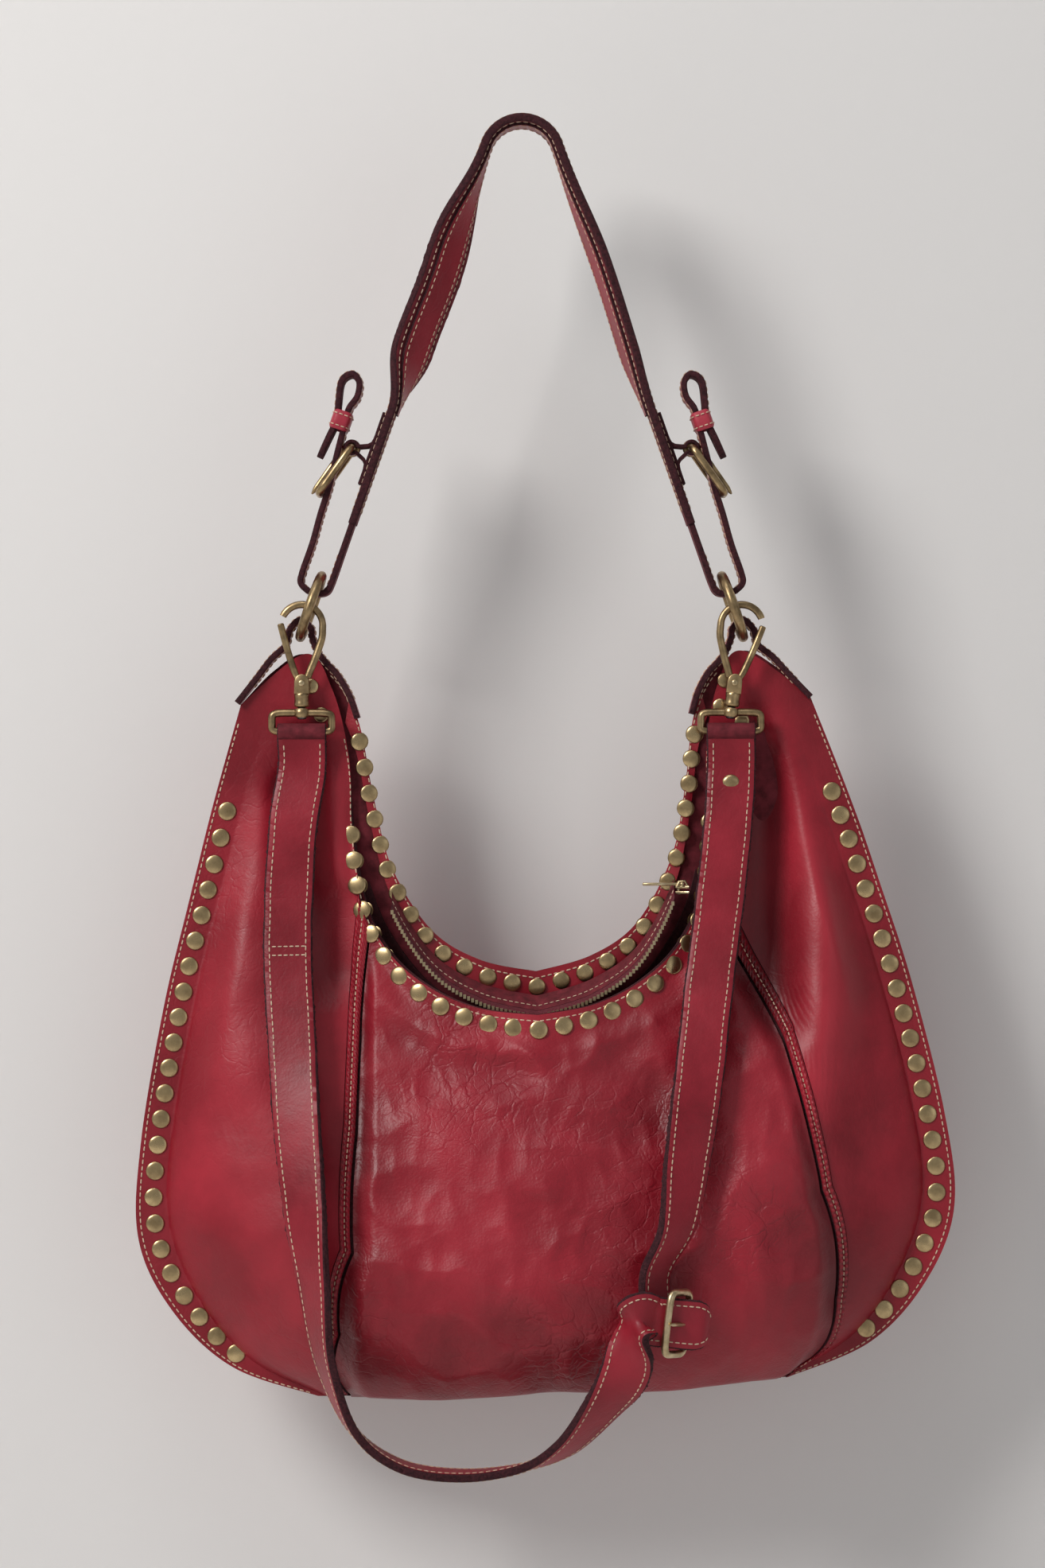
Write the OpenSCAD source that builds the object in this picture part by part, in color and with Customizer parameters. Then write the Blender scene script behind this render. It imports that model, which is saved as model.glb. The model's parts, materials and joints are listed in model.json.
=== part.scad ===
// Hobo bag of soft leather, hanging by its shoulder strap from a round peg.
// Frame: origin on the peg's axis under the strap's apex, +Z up, +X to the right, front faces -Y.

/* [Hanging] */
// Radius of the peg or rail that the shoulder strap lies over
peg_r = 16; // [12:1:20]
// Distance from the peg's axis down to the centres of the two strap rings
ring_drop = 225; // [205:1:275]
// Distance from the middle of the bag out to each strap ring
ring_x = 106; // [98:1:114]

/* [Bag body] */
// Overall width of the body across its side seams
body_w = 412; // [340:1:500]
// Height from the strap rings down to the bottom of the body
body_drop = 394; // [330:1:475]
// Thickness of the filled-out body, front to back
body_depth = 112; // [90:1:136]
// How far below the rings the middle of the front mouth edge hangs
mouth_front_drop = 204; // [170:1:220]
// How far below the rings the middle of the back mouth edge hangs
mouth_back_drop = 184; // [150:1:200]
// Sideways drift of the soft body for each millimetre of drop
sway = 0.04; // [0:0.01:0.06]
// Thickness of the body leather
leather_t = 2.2; // [1.6:0.1:3]
// Width of the flat sewn margin along each side
margin_w = 14; // [12:0.5:18]
// How far the middle front panel stands in front of the side panels
panel_rise = 5; // [3:0.5:8]
// Width of the stitched welt strips beside the middle front panel
welt_w = 10; // [7:0.5:13]

/* [Shoulder strap] */
// Width of the strap where it lies over the peg
strap_w = 28; // [22:1:34]
// Width of the strap where it passes through the rings
strap_end_w = 18; // [14:1:20]
// Thickness of the strap leather
strap_t = 4; // [3:0.1:5]
// Thickness of the thinner strap ends
strap_end_t = 3; // [2.4:0.1:3.4]

/* [Crossbody strap] */
// Width of the crossbody strap
cross_w = 24; // [20:0.5:25]
// Thickness of the crossbody strap, both layers together
cross_t = 4; // [3:0.1:4.6]

/* [Metal fittings] */
// Radius of a strap ring, to the middle of its wire
ring_r = 16.3; // [15:0.1:20]
// Radius of the wire of a strap ring
ring_wire_r = 2.5; // [2:0.1:2.8]
// Thickness of the flat snap hook, front to back
hook_t = 3.2; // [2.8:0.1:3.4]
// Radius of the wire of the D frames
dee_wire_r = 1.9; // [1.5:0.1:2.2]
// Radius of the wire of the buckle frames
buckle_wire_r = 1.9; // [1.5:0.1:2.1]
// Diameter of a domed stud
stud_d = 9.2; // [7:0.1:11]
// Distance from one stud to the next
stud_pitch = 12.4; // [11:0.1:16]
// Radial clearance of a pin that turns in its hole
pin_gap = 0.06; // [0.02:0.01:0.1]

/* [Hidden] */

ring_z = -ring_drop;
kx = body_w / 412;
kz = body_drop / 394;
kd = body_depth / 112;
skin_gap = 0.1;

// ---------- points, curves and solids built from them ----------
function unit(v) = v / norm(v);
function clamp01(t) = min(max(t, 0), 1);
function smooth(t) = let(c = clamp01(t)) c * c * (3 - 2 * c);
function mix(a, b, t) = a + (b - a) * t;
function flat(rows) = [for (row = rows) each row];
// Smooth curve through every point of a list, for t from 0 to 1
function curve(p, t) =
    let(n = len(p) - 1, s = clamp01(t) * n, i = min(floor(s), n - 1), f = s - i,
        a = p[max(i - 1, 0)], b = p[i], c = p[i + 1], d = p[min(i + 2, n)])
    0.5 * (2 * b + (c - a) * f + (2 * a - 5 * b + 4 * c - d) * f * f
           + (3 * b - a - 3 * c + d) * f * f * f);

// Closed solid between two grids of points; the outer grid is seen from outside
module skin(outer, inner) {
    rows = len(outer);
    cols = len(outer[0]);
    half = rows * cols;
    function id(r, c, k) = k * half + r * cols + c;
    // Two triangles of one four-sided cell, seen from outside
    function cell(a, b, c, d) = [[a, c, b], [a, d, c]];
    faces = concat(
        [for (r = [0:rows - 2], c = [0:cols - 2])
            each cell(id(r, c, 0), id(r + 1, c, 0), id(r + 1, c + 1, 0), id(r, c + 1, 0))],
        [for (r = [0:rows - 2], c = [0:cols - 2])
            each cell(id(r, c, 1), id(r, c + 1, 1), id(r + 1, c + 1, 1), id(r + 1, c, 1))],
        [for (r = [0:rows - 2])
            each concat(cell(id(r, 0, 0), id(r, 0, 1), id(r + 1, 0, 1), id(r + 1, 0, 0)),
                        cell(id(r, cols - 1, 1), id(r, cols - 1, 0),
                             id(r + 1, cols - 1, 0), id(r + 1, cols - 1, 1)))],
        [for (c = [0:cols - 2])
            each concat(cell(id(0, c, 1), id(0, c, 0), id(0, c + 1, 0), id(0, c + 1, 1)),
                        cell(id(rows - 1, c, 0), id(rows - 1, c, 1),
                             id(rows - 1, c + 1, 1), id(rows - 1, c + 1, 0)))]);
    polyhedron(concat(flat(outer), flat(inner)), faces);
}

// Flat band of the given width and thickness along stations of [centre, width direction]
module ribbon(stations, width, thick) {
    n = len(stations);
    // Tangent, then the face normal, at one station
    function along(i) = unit(stations[min(i + 1, n - 1)][0] - stations[max(i - 1, 0)][0]);
    function face(i) = unit(cross(along(i), stations[i][1]));
    function corner(i, w, t) =
        let(f = face(i), across = unit(cross(f, along(i))), ww = is_list(width) ? width[i] : width)
        stations[i][0] + across * w * ww / 2 + f * t * thick / 2;
    skin([for (i = [0:n - 1]) [corner(i, -1, 1), corner(i, 1, 1)]],
         [for (i = [0:n - 1]) [corner(i, -1, -1), corner(i, 1, -1)]]);
}

// Round wire loop in the XZ plane: a rectangle w by h, between wire centres, with round corners
module wire_frame(w, h, corner_r, wire_r) {
    for (sx = [-1, 1], sz = [-1, 1])
        translate([sx * (w / 2 - corner_r), 0, sz * (h / 2 - corner_r)])
            rotate([90, sx > 0 ? (sz > 0 ? 0 : 90) : (sz > 0 ? -90 : 180), 0])
                rotate_extrude(angle = 90, $fn = 48)
                    translate([corner_r, 0]) circle(r = wire_r, $fn = 24);
    for (s = [-1, 1]) {
        translate([s * w / 2, 0, -(h / 2 - corner_r)])
            cylinder(r = wire_r, h = h - 2 * corner_r, $fn = 24);
        translate([-(w / 2 - corner_r), 0, s * h / 2])
            rotate([0, 90, 0]) cylinder(r = wire_r, h = w - 2 * corner_r, $fn = 24);
    }
}

// ---------- the soft body as a patch of two parameters ----------
// Half outlines in X and Z, measured from the middle of the ring line
side_line = [[118 * kx, -392 * kz], [160 * kx, -376 * kz], [189 * kx, -347 * kz],
             [205 * kx, -310 * kz], [202 * kx, -262 * kz], [188 * kx, -195 * kz],
             [174 * kx, -145 * kz], [160 * kx, -98 * kz], [ring_x + 37, -47]];
bottom_line = [[0, -394 * kz], [60 * kx, -394 * kz], [118 * kx, -392 * kz]];
front_line = [[0, -mouth_front_drop], [28, -mouth_front_drop + 4], [52, -mouth_front_drop + 15],
              [72, -mouth_front_drop + 33], [84, -mouth_front_drop + 58], [89, -108], [90, -72],
              [ring_x - 9, -40], [ring_x + 4, -23], [ring_x + 37, -47]];
back_line = [[0, -mouth_back_drop], [28, -mouth_back_drop + 7], [52, -mouth_back_drop + 23],
             [71, -mouth_back_drop + 56], [79, -92], [84, -58], [ring_x - 13, -36],
             [ring_x + 4, -23], [ring_x + 20, -31], [ring_x + 37, -47]];
front_mouth_gap = 27;
back_mouth_gap = 12;

// Point of the flat pattern; u runs from -1 at the left seam to 1, v from 0 at the bottom to 1
function pattern(u, v, top) =
    let(s = abs(u), b = curve(bottom_line, s), t = curve(top, s),
        c = mix(bottom_line[0], top[0], v), e = curve(side_line, v),
        corners = mix(mix(bottom_line[0], bottom_line[2], s), mix(top[0], top[9], s), v),
        p = mix(b, t, v) + mix(c, e, s) - corners)
    [u < 0 ? -p[0] : p[0], p[1]];
// How far the filled bag pushes the leather out from its middle plane
function bulge(u, v, gap) =
    let(s = abs(u), flat_u = 1 - margin_w / (body_w / 2),
        across = s < flat_u ? pow(1 - pow(s / flat_u, 2.4), 0.7) : 0,
        up = v < 0.3 ? sqrt(max(0, 1 - pow((0.3 - v) / 0.3, 2))) : 1,
        w = smooth((v - 0.3) / 0.7))
    (body_depth / 2 - leather_t) * across * up * (1 - w) + gap * kd * (1 - smooth(s / 0.62)) * w;
// The soft body leans a little as it hangs
function hung(x, y, z) = [x - sway * z, y, z + sway * x * clamp01(-z / 120) + ring_z];
function front_mid(u, v) =
    let(p = pattern(u, v, front_line)) [p[0], -bulge(u, v, front_mouth_gap), p[1]];
function back_mid(u, v) =
    let(p = pattern(u, v, back_line)) [p[0], bulge(u, v, back_mouth_gap), p[1]];
function shell_at(side, u, v) = side < 0 ? front_mid(u, v) : back_mid(u, v);
// Outward direction of the body at one place
function out_dir(side, u, v) =
    let(d = 0.01, du = shell_at(side, min(u + d, 1), v) - shell_at(side, max(u - d, -1), v),
        dv = shell_at(side, u, min(v + d, 1)) - shell_at(side, u, max(v - d, 0)),
        n = cross(du, dv) * (side < 0 ? 1 : -1), safe = norm(n) > 0.0001 ? n : [0, side, 0],
        edge = abs(u) > 0.9 || v < 0.03)
    edge ? unit([0, side, 0] + unit(safe) * 0.2) : unit(safe);
// Point of the body raised by h over its middle surface
function raised(side, u, v, h) =
    let(p = shell_at(side, u, v) + out_dir(side, u, v) * h) hung(p[0], p[1], p[2]);

// Part of the body leather between two heights over the middle surface
module body_skin(side, us, vs, low, high) {
    outer = [for (v = vs) [for (u = us(v)) raised(side, u, v, high)]];
    inner = [for (v = vs) [for (u = us(v)) raised(side, u, v, low)]];
    if (side < 0) skin(inner, outer);
    else skin(outer, inner);
}
rows = [for (i = [0:18]) pow(i / 18, 1.15)];
function spread(a, b, n) = [for (i = [0:n]) mix(a, b, i / n)];
// Lines of the two welts across the front, as the body's u at height v
welt_line_left = [0.84, 0.58, 0.44, 0.434, 0.449, 0.45];
welt_line_right = [0.97, 0.80, 0.68, 0.655, 0.56, 0.45];
function line_at(list, v) =
    let(s = v * (len(list) - 1), i = min(floor(s), len(list) - 2)) mix(list[i], list[i + 1], s - i);
function half_welt(v) = welt_w / 2 / max(110, norm(pattern(1, v, front_line)));
function welt_u(side, v) = side * line_at(side < 0 ? welt_line_left : welt_line_right, v);

module front_panel_left() {
    color([0.66, 0.1, 0.19])
        body_skin(-1, function(v) spread(-1, welt_u(-1, v) - half_welt(v) - 0.004, 9), rows,
                  skin_gap, leather_t);
}
module front_panel_right() {
    color([0.66, 0.1, 0.19])
        body_skin(-1, function(v) spread(welt_u(1, v) + half_welt(v) + 0.004, 1, 9), rows,
                  skin_gap, leather_t);
}
module front_panel_middle() {
    color([0.62, 0.05, 0.15])
        body_skin(-1, function(v) spread(welt_u(-1, v) + half_welt(v) + 0.02,
                                         welt_u(1, v) - half_welt(v) - 0.02, 16), rows,
                  panel_rise * 0.4, panel_rise * 0.4 + leather_t);
}
module welt(side) {
    color([0.6, 0.06, 0.15])
        body_skin(-1, function(v) spread(welt_u(side, v) - half_welt(v),
                                         welt_u(side, v) + half_welt(v), 2), rows,
                  leather_t * 0.3, leather_t * 1.5);
}
module back_panel() {
    color([0.66, 0.1, 0.19])
        body_skin(1, function(v) spread(-1, 1, 26), rows, skin_gap, leather_t);
}

module lining(side) {
    function reach(v) = mix(0.88, 0.42, smooth((v - 0.5) / 0.4));
    color([0.35, 0.05, 0.08])
        body_skin(side, function(v) spread(-reach(v), reach(v), 16),
                  [for (i = [0:12]) mix(0.06, 0.88, i / 12)], -2.4, -1.4);
}
// Heights on the patch of a line that runs the given distance below the mouth's edge
function below_mouth(side, u, drop) =
    1 - drop / norm(shell_at(side, u, 1) - shell_at(side, u, 0.9)) * 0.1;
module mouth_band(side) {
    us = spread(-0.62, 0.62, 26);
    function line(drop, h) = [for (u = us) raised(side, u, below_mouth(side, u, drop), h)];
    top = [for (d = [14, 7, 0]) line(d, -0.2)];
    low = [for (d = [14, 7, 0]) line(d, -1.8)];
    color([0.4, 0.04, 0.09])
        if (side < 0) skin(low, top); else skin(top, low);
}

// ---------- shoulder strap ----------
lining_t = 1.6;
lining_w = 18;
// Local frame of a strap side: X points outward from the line through the ring, Z up the leg
leg_o = -(ring_wire_r + 1.3 + 0.8 + strap_end_t / 2);
ring_reach = norm([ring_x, ring_drop]);
leg_angle = acos((peg_r + lining_t + strap_t / 2 - leg_o) / ring_reach) - atan2(ring_drop, ring_x);
leg_len = ring_x * sin(leg_angle) + ring_drop * cos(leg_angle);
loop_d = ring_r - 9.3;
outer_o = ring_wire_r + 4.7 + 0.8 + strap_end_t / 2;
module on_leg(side) {
    mirror([side < 0 ? 1 : 0, 0, 0]) translate([ring_x, 0, ring_z]) rotate([0, -leg_angle, 0])
        children();
}
module saddle(r, t, w) {
    rotate([90, 0, 0]) rotate([0, 0, leg_angle])
        rotate_extrude(angle = 180 - 2 * leg_angle, $fn = 96)
            translate([r, -w / 2]) square([t, w]);
}
// Strap end: down through the ring, up the outside and over into a teardrop above its keeper
keeper_d = 93;
end_line = [[leg_o, 50], [leg_o, 30], [leg_o, loop_d + 8], [leg_o + 0.9, loop_d + 2.6],
            [leg_o + 4.6, loop_d + 0.2], [mix(leg_o, outer_o, 0.5), loop_d],
            [outer_o - 4.6, loop_d + 0.2], [outer_o - 0.9, loop_d + 2.6], [outer_o, loop_d + 8],
            [outer_o, 30], [10.5, 45], [11, 60], [12.5, 75], [14, keeper_d], [14.5, 100],
            [12.6, 107], [14, 114], [18.5, 117], [22.5, 112], [20.5, 101], [18.5, keeper_d],
            [19.5, 82], [20.5, 72]];
module strap_side(side) {
    on_leg(side) {
        ribbon([for (d = [leg_len + 1, leg_len - 40, 120, 46])
                   [[leg_o, 0, d], [0, 1, 0]]], [strap_w, strap_w, strap_w, strap_end_w + 2], strap_t);
        difference() {
            ribbon([for (i = [0:66]) let(p = curve(end_line, i / 66)) [[p[0], 0, p[1]], [0, 1, 0]]],
                   strap_end_w, strap_end_t);
            translate([5, -2.4, 57]) cube([12, 4.8, 24]);
        }
    }
}
module shoulder_strap() {
    color([0.5, 0.04, 0.1]) {
        saddle(peg_r + lining_t, strap_t, strap_w);
        strap_side(-1);
        strap_side(1);
    }
}
lining_end_d = 105;
module strap_lining() {
    color([0.62, 0.12, 0.2]) {
        saddle(peg_r, lining_t, lining_w);
        for (side = [-1, 1])
            on_leg(side)
                translate([leg_o - strap_t / 2 - lining_t, -lining_w / 2, lining_end_d])
                    cube([lining_t, lining_w, leg_len - lining_end_d + 0.6]);
    }
}
// Buckle: its chape bar lies between the leg and the outer strand, its free bar outside the strand
chape_o = 6.8;
chape_d = 82;
free_o = 14.6;
free_d = 55;
buckle_len = norm([free_o - chape_o, chape_d - free_d]);
buckle_lean = atan2(free_o - chape_o, chape_d - free_d);
buckle_w = strap_end_w + 2 * buckle_wire_r + 5;
module at_buckle(side) {
    on_leg(side) translate([chape_o, 0, chape_d]) rotate([0, -buckle_lean, 0]) children();
}
arm_t = 1.6 * buckle_wire_r;
// Frame of two round bars, reach apart along -Z, joined by two flat arms; the bars lie along Y
module buckle_frame(width, reach) {
    for (z = [0, -reach])
        translate([0, 0, z]) rotate([90, 0, 0])
            cylinder(r = buckle_wire_r, h = width + 2 * buckle_wire_r, center = true, $fn = 48);
    for (s = [-1, 1])
        translate([-arm_t / 2, s * width / 2 - arm_t / 2, -reach - 0.9])
            cube([arm_t, arm_t, reach + 1.8]);
}
module strap_buckle(side) {
    color([0.72, 0.62, 0.42]) at_buckle(side) buckle_frame(buckle_w, buckle_len);
}
prong_w = 3.4;
prong_t = 2.2;
// Prong hung on a bar at the origin, lying over a second bar that is reach further down
module prong(reach) {
    rise = buckle_wire_r + prong_t / 2 + 0.15;
    eye_r = buckle_wire_r + pin_gap + 1.5;
    rotate([90, 0, 0]) translate([0, 0, -prong_w / 2]) linear_extrude(prong_w)
        difference() {
            union() {
                circle(r = eye_r, $fn = 48);
                polygon([[-0.6, -eye_r + 0.6], [rise - prong_t / 2, -reach],
                         [rise - prong_t / 2 + 0.2, -reach - 2.6], [rise + prong_t / 2, -reach - 2.2],
                         [rise + prong_t / 2, -reach], [eye_r - 0.4, -0.6]]);
            }
            circle(r = buckle_wire_r + pin_gap, $fn = 48);
        }
}
module strap_prong(side) {
    color([0.7, 0.6, 0.4]) at_buckle(side) prong(buckle_len);
}
// Leather chape that holds the buckle's bar to the leg, slotted for the prong
chape_t = 1.9;
chape_w = 15;
module strap_chape(side) {
    eye = buckle_wire_r + 0.25;
    foot = leg_o + strap_t / 2 + 0.05;
    color([0.55, 0.05, 0.12]) on_leg(side)
        difference() {
            rotate([90, 0, 0]) translate([0, 0, -chape_w / 2]) linear_extrude(chape_w)
                difference() {
                    union() {
                        translate([chape_o, chape_d]) circle(r = eye + chape_t, $fn = 48);
                        translate([foot, chape_d - 2]) square([chape_o - foot, eye + chape_t + 2]);
                        translate([foot, chape_d - 16]) square([chape_t, 38]);
                    }
                    translate([chape_o, chape_d]) circle(r = eye, $fn = 48);
                }
            translate([chape_o - 4.6, -prong_w / 2 - 0.5, chape_d - 8])
                cube([12, prong_w + 1, 16]);
        }
}
keeper_h = 10;
keeper_t = 1.4;
module strap_keeper(side) {
    in_o = [14 - strap_end_t / 2 - 1, 18.5 + strap_end_t / 2 + 1.2];
    color([0.75, 0.15, 0.25]) on_leg(side) translate([0, 0, keeper_d - keeper_h / 2])
        difference() {
            translate([in_o[0] - keeper_t, -strap_end_w / 2 - 0.5 - keeper_t, 0])
                cube([in_o[1] - in_o[0] + 2 * keeper_t, strap_end_w + 1 + 2 * keeper_t, keeper_h]);
            translate([in_o[0], -strap_end_w / 2 - 0.5, -1])
                cube([in_o[1] - in_o[0], strap_end_w + 1, keeper_h + 2]);
        }
}

// ---------- rings and corner tabs ----------
module strap_ring(side) {
    color([0.72, 0.62, 0.42]) on_leg(side) rotate([0, 90, 0])
        rotate_extrude($fn = 96) translate([ring_r, 0]) circle(r = ring_wire_r, $fn = 32);
}
tab_w = 16;
tab_t = 3;
tab_y = 1.4;
wire_low = [ring_r * sin(leg_angle), -ring_r * cos(leg_angle)];
module ring_tab(side) {
    open = ring_wire_r + tab_t / 2 + 2.1;
    // The tab leans with the body that it is sewn to
    function lean(x, z) = [x - side * sway * min(z + 20, 0), z + side * sway * (ring_x + x) * clamp01(-(z + 15) / 120)];
    line = [[42, -48], [30, -36], [21, -26.5], [wire_low[0] + open + 1.6, -20],
            [wire_low[0] + open, wire_low[1]], [wire_low[0] + open - 1.4, -11],
            [wire_low[0] - 0.4, wire_low[1] + open + 2.6], [wire_low[0] - open + 0.6, -11],
            [wire_low[0] - open, wire_low[1]], [-3.4, -22.5], [-9, -28], [-16.6, -34],
            [-24, -44], [-28.4, -57]];
    color([0.55, 0.05, 0.12]) mirror([side < 0 ? 1 : 0, 0, 0]) translate([ring_x, tab_y, ring_z])
        ribbon([for (i = [0:44]) let(p = curve(line, i / 44), q = lean(p[0], p[1]))
                   [[q[0], 0, q[1]], [0, 1, 0]]], tab_w, tab_t);
}

// ---------- studs ----------
// Domed rivet through leather of thickness t, standing on the origin along +Z
module rivet(d, t, back = true) {
    dome = [for (a = [0:15:90]) [d / 2 * cos(a), 0.5 + 1.5 * sin(a)]];
    rotate_extrude($fn = 40)
        polygon(concat([[0, 0.05], [d / 2, 0.05]], [for (i = [0:5]) dome[i]], [[0, 2]]));
    translate([0, 0, -t - 0.1]) cylinder(r = 1.2, h = t + 0.2, $fn = 24);
    if (back) translate([0, 0, -t - 0.05 - 1.1]) cylinder(r = d / 2 - 0.4, h = 1.1, $fn = 40);
}
module standing(p, n) {
    translate(p) rotate([0, acos(n[2]), atan2(n[1], n[0])]) children();
}
// Running length along a line of points, paired with the line's own parameter
function run(points, i = 0, sum = 0) =
    i >= len(points) ? [] :
    let(step = i == 0 ? 0 : norm(points[i] - points[i - 1]))
    concat([[sum + step, i / (len(points) - 1)]], run(points, i + 1, sum + step));
stud_inset = 8.5;
module side_studs(side) {
    seam = run([for (i = [0:60]) curve(side_line, i / 60)]);
    total = seam[60][0];
    first = 52;
    last = 62;
    count = floor((total - first - last) / stud_pitch);
    color([0.75, 0.65, 0.45])
        for (i = [0:count]) {
            v = lookup(first + i * (total - first - last) / count, seam);
            u = side * (1 - stud_inset / norm(curve(side_line, v) - [0, mix(-394 * kz, -mouth_front_drop, v)]));
            p = raised(-1, u, v, 0);
            translate([p[0], -leather_t, p[2]]) rotate([90, 0, 0]) rivet(stud_d, 2 * leather_t);
        }
}
module mouth_studs(side) {
    line = side < 0 ? front_line : back_line;
    edge = run([for (i = [0:60]) curve(line, i / 60 * 0.6)]);
    total = edge[60][0];
    count = round(total / stud_pitch);
    color([0.75, 0.65, 0.45])
        for (m = [-1, 1], i = [(m < 0 ? 1 : 0):count - 1]) {
            u = m * 0.6 * lookup(i * total / count, edge);
            v = below_mouth(side, u, 7.5);
            n = out_dir(side, u, v);
            standing(raised(side, u, v, leather_t), n) rivet(stud_d, leather_t + 1.8);
        }
}
// Places of the small corner rivets on the front, as pairs of u and v
corner_places_left = [[0.846, 0.962], [0.79, 0.955]];
corner_places_right = [[0.804, 0.985], [0.76, 0.975], [0.81, 0.93]];
corner_rivet_d = stud_d - 1.4;
module tab_rivets(side) {
    color([0.75, 0.65, 0.45])
        for (q = side < 0 ? corner_places_left : corner_places_right)
            standing(raised(-1, side * q[0], q[1], leather_t), out_dir(-1, side * q[0], q[1]))
                rivet(corner_rivet_d, leather_t, false);
}

// ---------- top zip, open ----------
zip_reach = 0.33;
flange_t = 1.2;
zip_us = spread(-zip_reach, zip_reach, 18);
function flange_root(side, u) = raised(side, u, below_mouth(side, u, 12), -3.2 - flange_t / 2);
function flange_fall(side) = side < 0 ? [0, 4, -12] : [0, -10, -7];
function tape_fall(side) = side < 0 ? [0, 0.6, -7] : [0, -6.4, -2.4];
module hanging(side, start, fall, thick) {
    n = unit(cross([1, 0, 0], fall)) * thick / 2;
    a = [for (u = zip_us) flange_root(side, u) + start + n];
    b = [for (u = zip_us) flange_root(side, u) + start + fall + n];
    skin([[for (p = a) p - 2 * n], [for (p = b) p - 2 * n]], [a, b]);
}
module zip_flange(side) {
    color([0.7, 0.25, 0.32]) hanging(side, [0, 0, 0], flange_fall(side), flange_t);
}
tooth = 1.8;
module zip_tape(side) {
    start = flange_fall(side) + unit(flange_fall(side)) * 0.1;
    color([0.3, 0.1, 0.12]) hanging(side, start, tape_fall(side), 0.8);
    color([0.7, 0.6, 0.4])
        for (i = [0:len(zip_us) - 2], j = [0, 1, 2]) {
            u = mix(zip_us[i], zip_us[i + 1], (j + 0.5) / 3);
            a = flange_root(side, zip_us[i]);
            b = flange_root(side, zip_us[i + 1]);
            translate(mix(a, b, (j + 0.5) / 3) + start + tape_fall(side)) rotate([side < 0 ? 90 : 20, 0, 0])
                cube([tooth, tooth * 1.4, tooth], center = true);
        }
}

slider_size = [7, 8, 4.5];
slider_at = flange_root(1, zip_reach) + [slider_size[0] / 2 + 0.6, -7, -5];
pull_r = 0.9;
pull_len = 20;
module zip_slider() {
    color([0.7, 0.6, 0.4]) translate(slider_at)
        difference() {
            union() {
                cube(slider_size, center = true);
                translate([0, 0, slider_size[2] / 2 + 0.6]) rotate([90, 0, 0])
                    cylinder(r = pull_r + 1, h = slider_size[1], center = true, $fn = 32);
            }
            translate([0, 0, slider_size[2] / 2 + 0.6]) rotate([90, 0, 0])
                cylinder(r = pull_r + pin_gap, h = slider_size[1] + 2, center = true, $fn = 32);
            translate([-slider_size[0] / 2 - 1, -1.7, slider_size[2] / 2 - 1.9])
                cube([slider_size[0] / 2 + pull_r + 2.2, 3.4, 6]);
        }
}
// Pull tab: a cross pin in the slider's bridge and a flat tab that lies towards the mouth's middle
module zip_pull() {
    color([0.72, 0.64, 0.42]) translate(slider_at + [0, 0, slider_size[2] / 2 + 0.6]) {
        rotate([90, 0, 0])
            cylinder(r = pull_r, h = slider_size[1] - 0.6, center = true, $fn = 32);
        translate([-pull_len * 0.35, -1.3, -0.8]) cube([pull_len * 0.35, 2.6, 1.6]);
        translate([-pull_len, -2.6, -0.8]) cube([pull_len * 0.65 + 0.5, 5.2, 1.6]);
    }
}

// ---------- snap hooks ----------
// Each hook hangs on the front of its ring's lower half, so it is clear of the leather tab
clasp_y = -12;
hook_in_r = 8.7;
hook_band = 3.6;
pin_r = 1.1;
pin_drop = 28.8;
barrel_h = 7;
barrel_top = pin_drop + 5;
barrel_r = 3.8;
post_r = 1.7;
head_r = 2.5;
head_h = 1.2;
cheek_in = 1.4;
cheek_out = 3.2;
// Lean of each hook towards the bag's middle, and the ring wire's place where it hangs
function hook_lean(side) = side > 0 ? 7 : 0;
hang_z = -sqrt(ring_r * ring_r - clasp_y * clasp_y);
hook_x = ring_x - hang_z * sin(leg_angle) + 0.5;
hook_z = ring_z + hang_z * cos(leg_angle) + 0.5;
// Local frame of a hook: origin at the middle of its eye, X towards its gate, -Z down to the post
module on_hook(side) {
    mirror([side < 0 ? 1 : 0, 0, 0]) translate([hook_x, clasp_y, hook_z])
        rotate([0, hook_lean(side), 0]) children();
}
module across_y(t) {
    rotate([90, 0, 0]) translate([0, 0, -t / 2]) linear_extrude(t) children();
}
module hook(side) {
    out_r = hook_in_r + hook_band;
    color([0.7, 0.6, 0.4]) on_hook(side) {
        across_y(hook_t)
            polygon(concat(
                [for (a = [22:8:182]) [out_r * cos(a), out_r * sin(a)]],
                [[-out_r + 0.1, -3], [-3.9, -25.4], [-1.5, -25.4], [-hook_in_r - 0.2, -3]],
                [for (a = [182:-8:22]) [hook_in_r * cos(a), hook_in_r * sin(a)]]));
        difference() {
            union() {
                for (s = [-1, 1])
                    translate([-3.9, s > 0 ? cheek_in : -cheek_out, -barrel_top - 0.1])
                        cube([7.8, cheek_out - cheek_in, barrel_top - 22.6]);
                translate([0, 0, -barrel_top - barrel_h]) cylinder(r = barrel_r, h = barrel_h, $fn = 48);
            }
            translate([0, 0, -barrel_top - barrel_h - 1])
                cylinder(r = post_r + pin_gap, h = barrel_h + 4, $fn = 48);
            translate([0, 0, -barrel_top - head_h - 1])
                cylinder(r = head_r + 0.3, h = head_h + 2.1, $fn = 48);
            translate([0, 0, -pin_drop]) rotate([90, 0, 0])
                cylinder(r = pin_r, h = 10, center = true, $fn = 32);
        }
    }
}
tongue_r = 2.7;
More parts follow.
